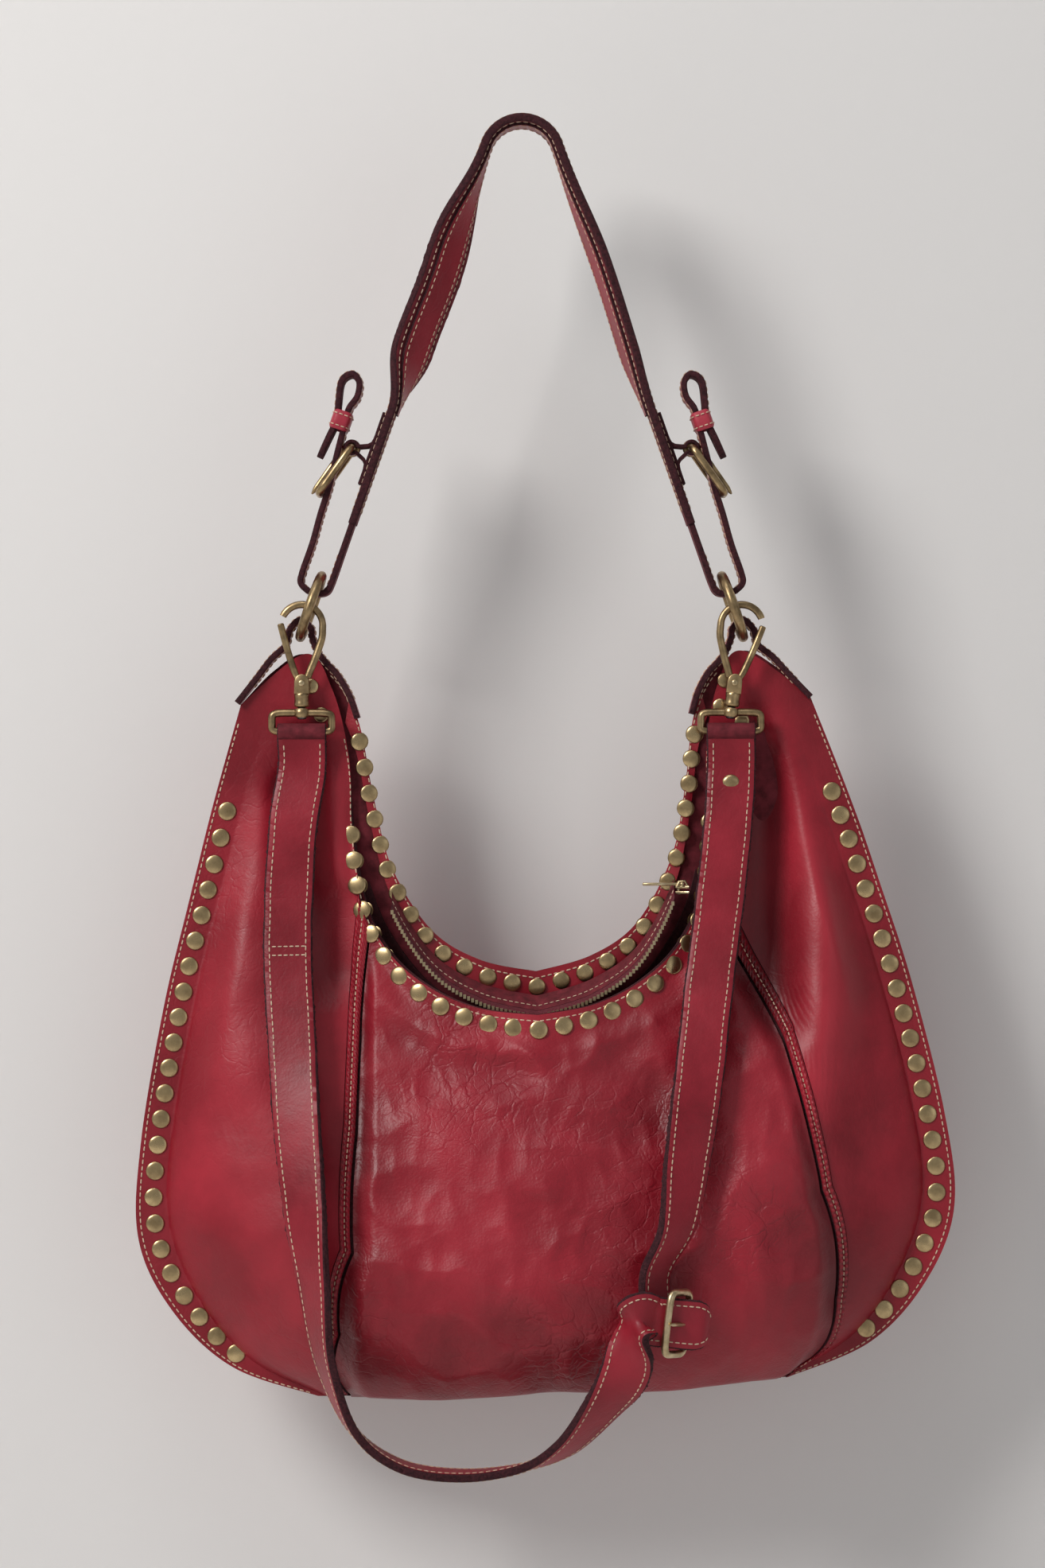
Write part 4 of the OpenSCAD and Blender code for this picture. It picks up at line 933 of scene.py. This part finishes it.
endLine = [(-6.1, 50), (-6.1, 30), (-6.1, 15), (-5.2, 9.6), (-1.5, 7.2), (1.7, 7), (4.9, 7.2), (8.6, 9.6), (9.5, 15),
           (9.5, 30), (10.5, 45), (11, 60), (12.5, 75), (14, 93), (14.5, 100), (12.6, 107), (14, 114), (18.5, 117),
           (22.5, 112), (20.5, 101), (18.5, 93), (19.5, 82), (20.5, 72)]
for side in (-1, 1):
    name = sideNames[side]
    body_ = "strap"
    od = spline(endLine, np.linspace(0, 1, int(220 * fine)))
    p = onLeg(side, od[:, 0], od[:, 1])
    across = np.tile([0.0, float(side), 0], (len(p), 1))
    w = np.full(len(p), strap["lap"])
    w[-14:] = strap["lap"] * np.sqrt(1 - np.linspace(0, 0.93, 14) ** 2)
    settle(strapMesh("strapEnd_" + name, p, across, w, 3.0, seed=7 + side), "strap", ())
    along, acr, face = frames(p, across)
    for s in (-1, 1):
        off = acr * (s * (strap["lap"] / 2 - 2.6))
        k = slice(10, -20)
        strapRows.append(stitchRow((p + off + face * 1.6)[k], face[k], 3.4, 2.3, 0.3))

    # Chape: an eye round the buckle's bar on two feet of leather sewn to the leg
    bar = jointPos("buckle_%s_lift" % name)
    foot = strap["legLine"] + 2.05
    parts = []
    for s in (-1, 1):
        ang = np.linspace(-2.6, 2.6, 30)
        ring = np.stack([6.8 + 3.1 * np.cos(ang), 82 + 3.1 * np.sin(ang)], 1)
        q = np.concatenate([[(foot + 1, 104), (foot + 1, 92), (foot + 2.2, 86.5)], ring[::-1],
                            [(foot + 2.2, 77.5), (foot + 1, 72), (foot + 1, 66)]])
        q = spline(q, np.linspace(0, 1, 80))
        c = onLeg(side, q[:, 0], q[:, 1], s * 4.95)
        m = strapMesh("chapeHalf", c, np.tile([0.0, side, 0], (80, 1)), 5.1, 1.8, seed=9 + s, crown=0.1)
        parts.append(m)
    base = onLeg(side, np.full(40, foot + 1.0), np.linspace(66, 104, 40))
    m = strapMesh("chapeBase", base, np.tile([0.0, side, 0], (40, 1)), 15, 1.9, seed=5, crown=0.1)
    parts.append(m)
    for m in parts[1:]:
        pass
    with bpy.context.temp_override(active_object=parts[-1], selected_editable_objects=parts):
        bpy.ops.object.join()
    chape = parts[-1]
    chape.name = "strapChape_" + name
    settle(chape, "strap", ("strap_chape_" + name,))

    # Keeper: a band of paler leather with two rows of stitches
    ang = np.linspace(0, 2 * math.pi, 81)[:-1]
    cx, hx, hy = 16.35, 4.2, 10.2
    sq = np.stack([np.sign(np.cos(ang)) * np.abs(np.cos(ang)) ** 0.45, np.sign(np.sin(ang)) * np.abs(np.sin(ang)) ** 0.45], 1)
    rows = []
    for grow, level in ((0, -4.9), (0.35, -4.6), (0.75, -3.8), (0.85, 0), (0.75, 3.8), (0.35, 4.6), (0, 4.9),
                        (-0.7, 4.6), (-0.75, 0), (-0.7, -4.6)):
        rows.append(onLeg(side, cx + sq[:, 0] * (hx + grow), np.full(80, 93 + level), sq[:, 1] * (hy + grow)))
    pts = np.stack(rows)
    faces = gridQuads(10, 80, 0, True).tolist()
    faces += [[720 + j, j, (j + 1) % 80, 720 + (j + 1) % 80] for j in range(80)]
    settle(makeObject("strapKeeper_" + name, pts, faces, ["pale"]), "strap", ("strap_keeper_" + name,))
    centre = onLeg(side, cx, 93)
    for level in (-2.9, 2.9):
        line = onLeg(side, cx + sq[:, 0] * (hx + 0.95), np.full(80, 93 + level), sq[:, 1] * (hy + 0.95))
        line = np.concatenate([line, line[:1]])
        strapRows.append(stitchRow(line, unit(line - (centre + upWay[side] * level)), 2.7, 1.9, 0.3))
stitchObject("strapStitches", strapRows, "strap")
print("strap built")


# Buckle: one round wire bent to a frame with soft corners
def buckleFrame(name, back, x, run, axis, width, reach, body_, nodes, metal):
    hw, r = width / 2, 1.9
    corner = 2.4
    pts = []
    for cx, cz, a0 in ((hw - corner, corner * 0.4, 90), (-hw + corner, corner * 0.4, 180), (-hw + corner, -reach - corner * 0.4, 270),
                       (hw - corner, -reach - corner * 0.4, 360)):
        pass
    long = reach / 2
    ang = np.linspace(0, 2 * math.pi, 161)[:-1]
    power = 0.34
    sy = np.sign(np.cos(ang)) * np.abs(np.cos(ang)) ** power * hw
    sz = np.sign(np.sin(ang)) * np.abs(np.sin(ang)) ** power * long
    path = back + axis * sy[:, None] + run * (sz - long)[:, None]
    s = np.concatenate([[0], np.cumsum(np.linalg.norm(np.diff(np.concatenate([path, path[:1]]), axis=0), axis=1))])
    at = np.linspace(0, s[-1], 181)[:-1]
    closedPath = np.concatenate([path, path[:1]])
    path = np.stack([np.interp(at, s, closedPath[:, k]) for k in range(3)], 1)
    pts, faces = tube(path, r, 14, True, (1, 1), x)
    return settle(makeObject(name, pts, faces, [metal]), body_, nodes)


# Prong: an eye round the bar and a tapering tongue whose tip rests over the far bar
def prongShape(name, back, x, run, axis, reach, body_, nodes, metal):
    rise, eye = 3.15, 3.46
    ang = np.linspace(math.radians(-75), math.radians(255), 36)
    outer = np.stack([eye * np.cos(ang), eye * np.sin(ang)], 1)
    outline = np.concatenate([outer, [(rise - 1.1, -reach * 0.55), (rise - 1.05, -reach), (rise - 0.9, -reach - 2.5), (rise + 0.5, -reach - 2.5),
                                      (rise + 1.05, -reach - 1.2), (rise + 1.1, -reach * 0.5), (eye - 0.1, -2.2)]])
    outline = outline[:, :2]
    hole = 2.15
    n = len(outline)
    centreHole = np.stack([hole * np.cos(np.linspace(0, 2 * math.pi, n + 1)[:-1]), hole * np.sin(np.linspace(0, 2 * math.pi, n + 1)[:-1])], 1)
    # the eye as a ring of wire and the tongue as a separate tapering bar joined to it
    a = np.linspace(0, 2 * math.pi, 41)[:-1]
    ringPts = back + x * (2.8 * np.cos(a))[:, None] + run * (2.8 * np.sin(a))[:, None]
    r1 = tube(ringPts, 0.62, 8, True, (2.6, 1), axis)
    t = np.linspace(0, 1, 24)
    line = back + x * mix(2.9, rise, smooth(t * 3))[:, None] + run * (-t * (reach + 2.4))[:, None]
    rad = mix(1.15, 0.95, t)
    rad[-3:] = (0.85, 0.6, 0.25)
    r2 = tube(line, rad, 10, False, (1.45, 1), axis)
    pts, faces, index = join([r1, r2])
    return settle(makeObject(name, pts, faces, [metal]), body_, nodes)


for side in (-1, 1):
    name = sideNames[side]
    back = jointPos("buckle_%s_lift" % name)
    # the frame runs from the back bar down to the free bar, tipped outward
    free = onLeg(side, 14.6, 55.0)
    run = unit(back - free)
    reach = float(np.linalg.norm(back - free))
    y = np.array([0.0, 1, 0])
    x = unit(np.cross(y, run)) * (1 if np.dot(np.cross(y, run), outWay[side]) > 0 else -1)
    lo, hi = boxOf("strap_buckle_" + name)
    buckleFrame("strapBuckle_" + name, back, x, run, y, hi[1] - lo[1] - 3.8, reach, "strap_buckle_" + name,
                ("strap_buckle_" + name,), "brass")
    prongShape("strapProng_" + name, back, x, run, y, reach, "strap_prong_" + name, ("strap_prong_" + name,), "brass")

    # Ring of round wire
    ang = np.linspace(0, 2 * math.pi, 97)[:-1]
    circle = onLeg(side, np.zeros(96), 16.3 * np.cos(ang), 16.3 * np.sin(ang))
    pts, faces = tube(circle, 2.5, 16, True, (1, 1), outWay[side])
    settle(makeObject("strapRing_" + name, pts, faces, ["brass"]), "ring_" + name, ("ring_" + name,))

    # Tab: a loop of leather through the ring, sewn down on the body's shoulder
    low = np.array([16.3 * math.sin(legAngle), -16.3 * math.cos(legAngle)])
    gap = 2.5 + 1.5 + 2.1
    line = [(38, -47), (28, -35.5), (20, -26), (low[0] + gap + 1.6, -20), (low[0] + gap, low[1]), (low[0] + gap - 1.4, -11),
            (low[0] - 0.4, low[1] + gap + 2.6), (low[0] - gap + 0.6, -11), (low[0] - gap, low[1]), (-3.4, -22.5),
            (-7.5, -28), (-13, -34), (-18.5, -44), (-22, -55)]
    q = spline(line, np.linspace(0, 1, int(150 * fine)))
    zz = q[:, 1] + side * body["sway"] * (ringAt[1][0] + q[:, 0]) * np.clip(-(q[:, 1] + 15) / 120, 0, 1)
    xx = q[:, 0] - side * body["sway"] * np.minimum(q[:, 1] + 20, 0)
    p = np.stack([side * (ringAt[1][0] + xx), np.full(len(q), 1.4), ringAt[1][2] + zz], 1)
    ob = strapMesh("ringTab_" + name, p, np.tile([0.0, 1, 0], (len(p), 1)), 16, 3.0, ("strap", "strap", "edge"),
                   0.22, 0.1, 13)
    settle(ob, "bag", ("ring_tab_" + name,))
    along, acr, face = frames(p, np.tile([0.0, 1, 0], (len(p), 1)))
    for s in (-1, 1):
        for f in (-1, 1):
            k = slice(8, -8)
            bagStitches.append(stitchRow((p + acr * s * 5.4 + face * f * 1.62)[k], face[k] * f, 3.2, 2.2, 0.32))
print("buckles, rings and tabs built")

# ---- snap hooks, gates and D frames ----
hookShape = {"eye": 8.7, "band": 3.6, "thick": 3.2, "pinDrop": 28.8, "barrel": 3.8}
for side in (-1, 1):
    name = sideNames[side]
    pin = jointPos("gate_%s_open" % name)
    swivel = joints["hook_%s_swivel" % name]
    up = unit(np.array(swivel["axis"]))
    if up[2] < 0:
        up = -up
    out = unit(np.array([up[2], 0, -up[0]])) * side
    y = np.array([0.0, 1, 0])
    centre = pin + up * hookShape["pinDrop"]

    def at(px, pz, py=0.0):
        return centre + np.asarray(px)[..., None] * out + np.asarray(pz)[..., None] * up + np.asarray(py)[..., None] * y

    eye = hookShape["eye"] + hookShape["band"] / 2
    ang = np.radians(np.linspace(26, 186, 60))
    arc = np.stack([eye * np.cos(ang), eye * np.sin(ang)], 1)
    spine = np.array([(-10.2, -6), (-8.3, -12), (-6.1, -18), (-4.2, -22.5), (-2.9, -26)])
    q = np.concatenate([arc, spine])
    q = spline(q[::1], np.linspace(0, 1, 150))
    girth = np.interp(np.linspace(0, 1, 150), [0, 0.05, 0.55, 0.8, 1], [1.75, 1.85, 1.85, 1.7, 1.9])
    bar = tube(at(q[:, 0], q[:, 1]), girth, 16, False, (1.0, 0.84), y)
    cheek = []
    for s in (-1, 1):
        a = np.radians(np.linspace(0, 360, 33)[:-1])
        round_ = np.stack([3.7 * np.cos(a), -28.8 + 3.7 * np.sin(a)], 1)
        low = np.array([(-3.7, -33.6), (3.7, -33.6)])
        outline = np.concatenate([[(3.7, -28.8)], [(3.7 * math.cos(b), -28.8 + 3.9 * math.sin(b) + 0.6) for b in np.radians(np.linspace(10, 170, 14))],
                                  [(-3.7, -28.8), (-3.75, -34.2), (3.75, -34.2)]])
        cheek.append(plate(outline, centre + y * s * 2.3, out, up, 1.8, 0.45))
    barrel = turned([(1.9, -40.8), (3.0, -40.8), (3.7, -40.2), (3.85, -39.4), (3.7, -38.6), (3.6, -36.0), (3.8, -35.4),
                     (3.8, -34.4), (3.3, -33.7), (2.0, -33.6)], centre, up, 36)
    pts, faces, index = join([bar] + cheek + [barrel])
    settle(makeObject("snapHook_" + name, pts, faces, ["brass"], index), "hook_" + name, ("hook_" + name,))

    line = np.array([(0, -28.8), (2.2, -26.2), (4.2, -21.5), (6.3, -15), (8.6, -7), (10.3, -0.6), (10.7, 1.0)])
    t = np.linspace(0, 1, 60)
    q = spline(line, t)
    girth = np.interp(t, [0, 0.15, 0.3, 0.9, 1], [1.3, 1.5, 1.75, 1.7, 1.2])
    gateBar = tube(at(q[:, 0], q[:, 1]), girth, 14, False, (1.0, 0.86), y)
    tongue = turned([(0.5, -1.2), (2.6, -1.2), (2.7, 0), (2.6, 1.2), (0.5, 1.2)], pin, y, 30)
    pts, faces, index = join([gateBar, tongue])
    settle(makeObject("snapGate_" + name, pts, faces, ["brass"], index), "gate_" + name, ("gate_" + name,))
    pts, faces = turned([(0.2, -4.0), (1.1, -3.95), (1.65, -3.6), (1.7, -3.3), (1.0, -3.25), (1.0, 3.25), (1.7, 3.3),
                         (1.65, 3.6), (1.1, 3.95), (0.2, 4.0)], pin, y, 20)
    settle(makeObject("gatePin_" + name, pts, faces, ["lightBrass"]), "hook_" + name, ("gate_pin_" + name,))

    # Swivel post of dark steel: a head inside the barrel, a neck, and a riveted foot under the D's bar
    pts, faces = turned([(0.3, -47.0), (1.6, -46.95), (2.4, -46.5), (2.5, -46.0), (1.7, -45.9), (1.7, -41.3), (2.1, -41.1),
                         (2.3, -40.7), (1.7, -40.4), (1.7, -35.2), (2.5, -35.1), (2.5, -34.1), (0.3, -33.9)], centre, up, 28)
    settle(makeObject("swivelPost_" + name, pts, faces, ["steel"]), "dee_" + name, ("swivel_post_" + name,))

    lo, hi = boxOf("dee_" + name)
    top = centre - up * 43.7
    wire, hw, drop = 1.9, (hi[0] - lo[0]) / 2 - 1.9, 9.5
    ang = np.linspace(0, 2 * math.pi, 161)[:-1]
    px = np.sign(np.cos(ang)) * np.abs(np.cos(ang)) ** 0.3 * hw
    pz = np.sign(np.sin(ang)) * np.abs(np.sin(ang)) ** 0.3 * drop / 2 - drop / 2
    path = np.array([1.0, 0, 0]) * px[:, None] + np.array([0, 0, 1.0]) * pz[:, None] + np.array([(lo[0] + hi[0]) / 2, top[1], top[2]])
    closedPath = np.concatenate([path, path[:1]])
    s = lengthAlong(closedPath)
    even = np.linspace(0, s[-1], 161)[:-1]
    path = np.stack([np.interp(even, s, closedPath[:, k]) for k in range(3)], 1)
    frameWire = tube(path, wire, 14, True, (1, 1), y)
    bridge = turned([(1.9, -2.3), (3.3, -2.2), (3.9, -1.2), (4.0, 0), (3.9, 1.2), (3.3, 2.2), (1.9, 2.3)], top, up, 30)
    pts, faces, index = join([frameWire, bridge])
    settle(makeObject("dFrame_" + name, pts, faces, ["brass"], index), "dee_" + name, ("dee_" + name,))
print("hooks built")

# ---- crossbody strap ----
cross = {"width": 24.0, "thick": 4.0, "fold": 2.25, "barrelDrop": 9.5}
barAt = {-1: jointPos("crossbody_swing")}
lo, hi = boxOf("dee_right")
barAt[1] = np.array([(lo[0] + hi[0]) / 2, barAt[-1][1], lo[2] + 1.9])
frameAxis = unit(np.array(joints["crossbody_buckle_tilt"]["axis"]))
if frameAxis[2] < 0:
    frameAxis = -frameAxis
frameRun = unit(np.array([0.55, 0.83, -0.0667]))
frameFace = np.cross(frameRun, frameAxis)
backBar = jointPos("crossbody_buckle_tilt")


def byBar(out, run):
    return backBar + frameFace * out + frameRun * run


clearBar, clearChape = 6.9, 1.9 + 0.25 + 1.9 + 2 + 1.9
tipOut = -(clearBar + cross["thick"] + 1.8)
drop = np.array([0, 0, 3.25])
longLine = [barAt[-1] - drop, barAt[-1] - (0, 0, 20), (-114, -17, -333), (-116, -20, -365), (-116.5, -26, -400), (-114, -36, -440),
            (-111, -48, -480), (-107, -58, -520), (-102, -63, -560), (-96, -62, -600), (-83, -57, -632), (-60, -53, -650),
            (-30, -51, -655), (0, -51, -652), (22, -55, -641), (40, -64, -620), (51, -75, -601), byBar(-clearBar - 5, -27),
            byBar(-clearBar, -18), byBar(1.3, -9), byBar(clearChape, 0), byBar(clearChape, 5)]
longAcross = [(-1, 0, 0)] * 5 + [(-1, 0.1, 0), (-0.95, 0.3, 0), (-0.85, 0.5, 0), (-0.6, 0.8, 0), (-0.35, 0.93, 0), (-0.15, 0.98, 0),
                                 (0, 1, 0), (0, 1, 0), (0, 1, -0.1), (0.25, 0.9, -0.3), (0.45, 0.7, -0.5), (0.3, 0.3, -0.85)]
longAcross += [tuple(-frameAxis)] * 5
shortLine = [barAt[1] - drop, barAt[1] - (0, 0, 20), (103, -17, -335), (98.5, -23, -375), (93, -33, -415), (88, -46, -455), (82, -61, -495),
             (76, -70, -530), byBar(tipOut, -9) + (0, 0, 24), byBar(tipOut, -9) + (0, 0, 6), byBar(tipOut, -9) - (0, 0, 8)]
shortAcross = [(-1, 0, 0)] * 5 + [(-0.97, -0.1, 0), (-0.9, -0.4, 0), (-0.7, -0.7, 0)] + [tuple(-frameRun)] * 3
crossRows = []


# Strap end folded round the D frame's lower bar, drawn as a path of its own whose mesh is joined to the strap
def foldPath(bar, across):
    a = np.linspace(math.radians(-90), math.radians(250), 44)
    r = cross["fold"] + 1.0
    p = np.stack([np.zeros_like(a), r * np.cos(a), r * np.sin(a)], 1)
    return bar + p


def crossStrap(name, line, acr, side, count, node):
    t = np.linspace(0, 1, int(count * fine))
    p, a = spline(line, t), unit(spline(acr, t))
    soft = ripple(lengthAlong(p), p[:, 0] * 0, 70, 71 + side)
    p = p + unit(np.cross(unit(np.gradient(p, axis=0)), a)) * (soft * 0.5 * smooth(t * 8) * smooth((1 - t) * 8))[:, None]
    s = lengthAlong(p)
    w = cross["width"] + 0.3 * ripple(s, s * 0, 24, 73 + side)
    last = s[-1] - s
    w = w * np.sqrt(np.clip(1 - np.clip(1 - last / 9, 0, 1) ** 2 * 0.75, 0.05, 1))
    ob = strapMesh(name, p, a, w, cross["thick"], ("strap", "strap", "edge"), 0.24, 0.3, 15 + side)
    f = foldPath(barAt[side], side)
    fold = strapMesh(name + "Fold", f, np.tile([-1.0, 0, 0], (len(f), 1)), cross["width"], 2.0, ("strap", "flesh", "edge"), 0.14, 0.1, 3)
    with bpy.context.temp_override(active_object=ob, selected_editable_objects=[ob, fold]):
        bpy.ops.object.join()
    settle(ob, "crossbody", (node,))
    along_, acr_, face_ = frames(p, a)
    for s_ in (-1, 1):
        off = acr_ * (s_ * (w / 2 - 3.0))[:, None]
        for f_ in (-1, 1):
            k = slice(6, -4)
            crossRows.append(stitchRow((p + off + face_ * f_ * (cross["thick"] / 2 + 0.06))[k], face_[k] * f_, 3.4, 2.4, 0.34))
    return p, a, along_, acr_, face_


lp = crossStrap("crossbodyLongStrap", longLine, longAcross, -1, 620, "crossbody_long_strap")
sp = crossStrap("crossbodyShortStrap", shortLine, shortAcross, 1, 380, "crossbody_short_strap")
i = int(np.argmin(np.abs(lp[0][:, 2] + 398) + (lp[0][:, 0] > -90) * 500))
for row in (-2.2, 2.2):
    base = lp[0][i] + lp[2][i] * row
    for f_ in (-1, 1):
        crossRows.append(stitchRow(base + lp[3][i] * np.linspace(-9.5, 9.5, 20)[:, None] + lp[4][i] * f_ * 2.12,
                                   np.tile(lp[4][i] * f_, (20, 1)), 2.9, 2.1, 0.34))
stitchObject("crossbodyStitches", crossRows, "crossbody")

buckleFrame("crossbodyBuckle", backBar, frameFace, frameRun, frameAxis, 24 + 3.8 + 2.6, 18.0, "crossbody_buckle", ("crossbody_buckle",), "lightBrass")
prongShape("crossbodyProng", backBar, frameFace, frameRun, frameAxis, 18.0, "crossbody_prong", ("crossbody_prong",), "lightBrass")
parts = []
for s in (-1, 1):
    ang = np.linspace(math.radians(180), math.radians(-150), 36)
    eyeLine = np.stack([3.1 * np.cos(ang), 3.1 * np.sin(ang)], 1)
    q = np.concatenate([[(tipOut + 3.1, 2.6), (tipOut + 6.0, 2.9), (-4.0, 2.4)], eyeLine[4:]])
    q = spline(q, np.linspace(0, 1, 80))
    c = backBar + frameFace * q[:, :1] + frameRun * q[:, 1:] + frameAxis * s * 4.9
    parts.append(strapMesh("half", c, np.tile(frameAxis, (80, 1)), 5.0, 1.8, ("pale", "flesh", "edge"), 0.1, 0.1, 3 + s))
c = backBar + frameFace * np.linspace(tipOut + 2.1, -4.6, 30)[:, None] + frameRun * 1.6
parts.append(strapMesh("base", c, np.tile(frameAxis, (30, 1)), 15, 3.6, ("pale", "flesh", "edge"), 0.1, 0.1, 6))
with bpy.context.temp_override(active_object=parts[-1], selected_editable_objects=parts):
    bpy.ops.object.join()
parts[-1].name = "crossbodyChape"
settle(parts[-1], "crossbody", ("crossbody_chape",))
lo, hi = boxOf("crossbody_rivet")
c = (lo + hi) / 2
n = np.array([0, -math.sin(math.radians(96)), math.cos(math.radians(96))])
base = c - n * (hi[1] - lo[1]) * 0.5
pts, faces = turned([(1.1, 0.2), (1.1, 3.6), (4.55, 3.9), (4.8, 4.3), (4.6, 4.9), (3.7, 5.5), (2.2, 5.85), (0.3, 5.95)],
                    c - n * 3.4, n, 28)
settle(makeObject("crossbodyRivet", pts, faces, ["studBrass"]), "crossbody", ("crossbody_rivet",))
stitchObject("bagStitches", bagStitches, "bag")
print("crossbody strap built")

# ---- stage ----
def stageMesh(name, pts, faces, material):
    me = bpy.data.meshes.new(name)
    me.from_pydata(pts, [], faces)
    me.materials.append(material)
    me.polygons.foreach_set("use_smooth", [True] * len(me.polygons))
    ob = bpy.data.objects.new(name, me)
    bpy.context.scene.collection.objects.link(ob)
    return ob


paper = bpy.data.materials.new("palePaper")
t = nodeTree(paper)
b = principled(t, Base_Color=(0.76, 0.745, 0.735, 1), Roughness=0.95, Specular_IOR_Level=0.1)
bump(t, b, noise(t, objectVector(t), 160.0, 3.0), 0.12, 0.0008)
# Seen from behind the wall lets the view through, so the bag's back can be looked at
clear = t.nodes.new("ShaderNodeBsdfTransparent")
oneWay = t.nodes.new("ShaderNodeMixShader")
link(t, t.nodes.new("ShaderNodeNewGeometry").outputs["Backfacing"], oneWay.inputs[0])
link(t, b.outputs[0], oneWay.inputs[1])
link(t, clear.outputs[0], oneWay.inputs[2])
link(t, oneWay.outputs[0], t.nodes["Material Output"].inputs[0])
wallY, floorZ, reach = 0.086, -0.95, 3.0
profile = [(wallY, 3.0), (wallY, 0.5), (wallY, -0.5)]
profile += [(wallY - 0.18 * (1 - math.cos(a)), floorZ + 0.18 * (1 - math.sin(a)))
            for a in np.linspace(0, math.pi / 2, 10)]
profile += [(-2.0, floorZ), (-4.5, floorZ)]
pts = [(x, y, z) for y, z in profile for x in (-reach, reach)]
faces = [[2 * i, 2 * i + 2, 2 * i + 3, 2 * i + 1] for i in range(len(profile) - 1)]
backdrop = stageMesh("backdrop", pts, faces, paper)


def areaLight(name, place, target, size, power, colour=(1, 1, 1)):
    data = bpy.data.lights.new(name, "AREA")
    data.shape = "RECTANGLE"
    data.size, data.size_y = size
    data.energy, data.color = power, colour
    ob = bpy.data.objects.new(name, data)
    bpy.context.scene.collection.objects.link(ob)
    ob.location = place
    d = np.array(target) - np.array(place)
    ob.rotation_euler = Vector(d).to_track_quat("-Z", "Y").to_euler()
    return ob


areaLight("keyLight", (-1.5, -1.6, 1.0), (0, 0, -0.35), (0.8, 0.8), 40, (1.0, 0.985, 0.96))
areaLight("fillLight", (1.8, -2.2, -0.2), (0, 0, -0.35), (1.8, 1.8), 4, (0.96, 0.98, 1.0))
areaLight("topLight", (-0.4, -0.9, 1.7), (0, 0, -0.3), (1.2, 0.8), 7)
world = bpy.data.worlds.new("studio")
world.use_nodes = True
world.node_tree.nodes["Background"].inputs[0].default_value = (0.93, 0.94, 0.96, 1)
world.node_tree.nodes["Background"].inputs[1].default_value = 0.30
bpy.context.scene.world = world
bpy.context.scene.view_settings.view_transform = "Standard"
bpy.context.scene.view_settings.look = "None"

lens = bpy.data.cameras.new("camera")
lens.sensor_width, lens.lens = 36, 118.7
camera = bpy.data.objects.new("camera", lens)
bpy.context.scene.collection.objects.link(camera)
camera.location = (0.0004, -2.6, -0.3142)
camera.rotation_euler = (math.pi / 2, 0, 0)
bpy.context.scene.camera = camera
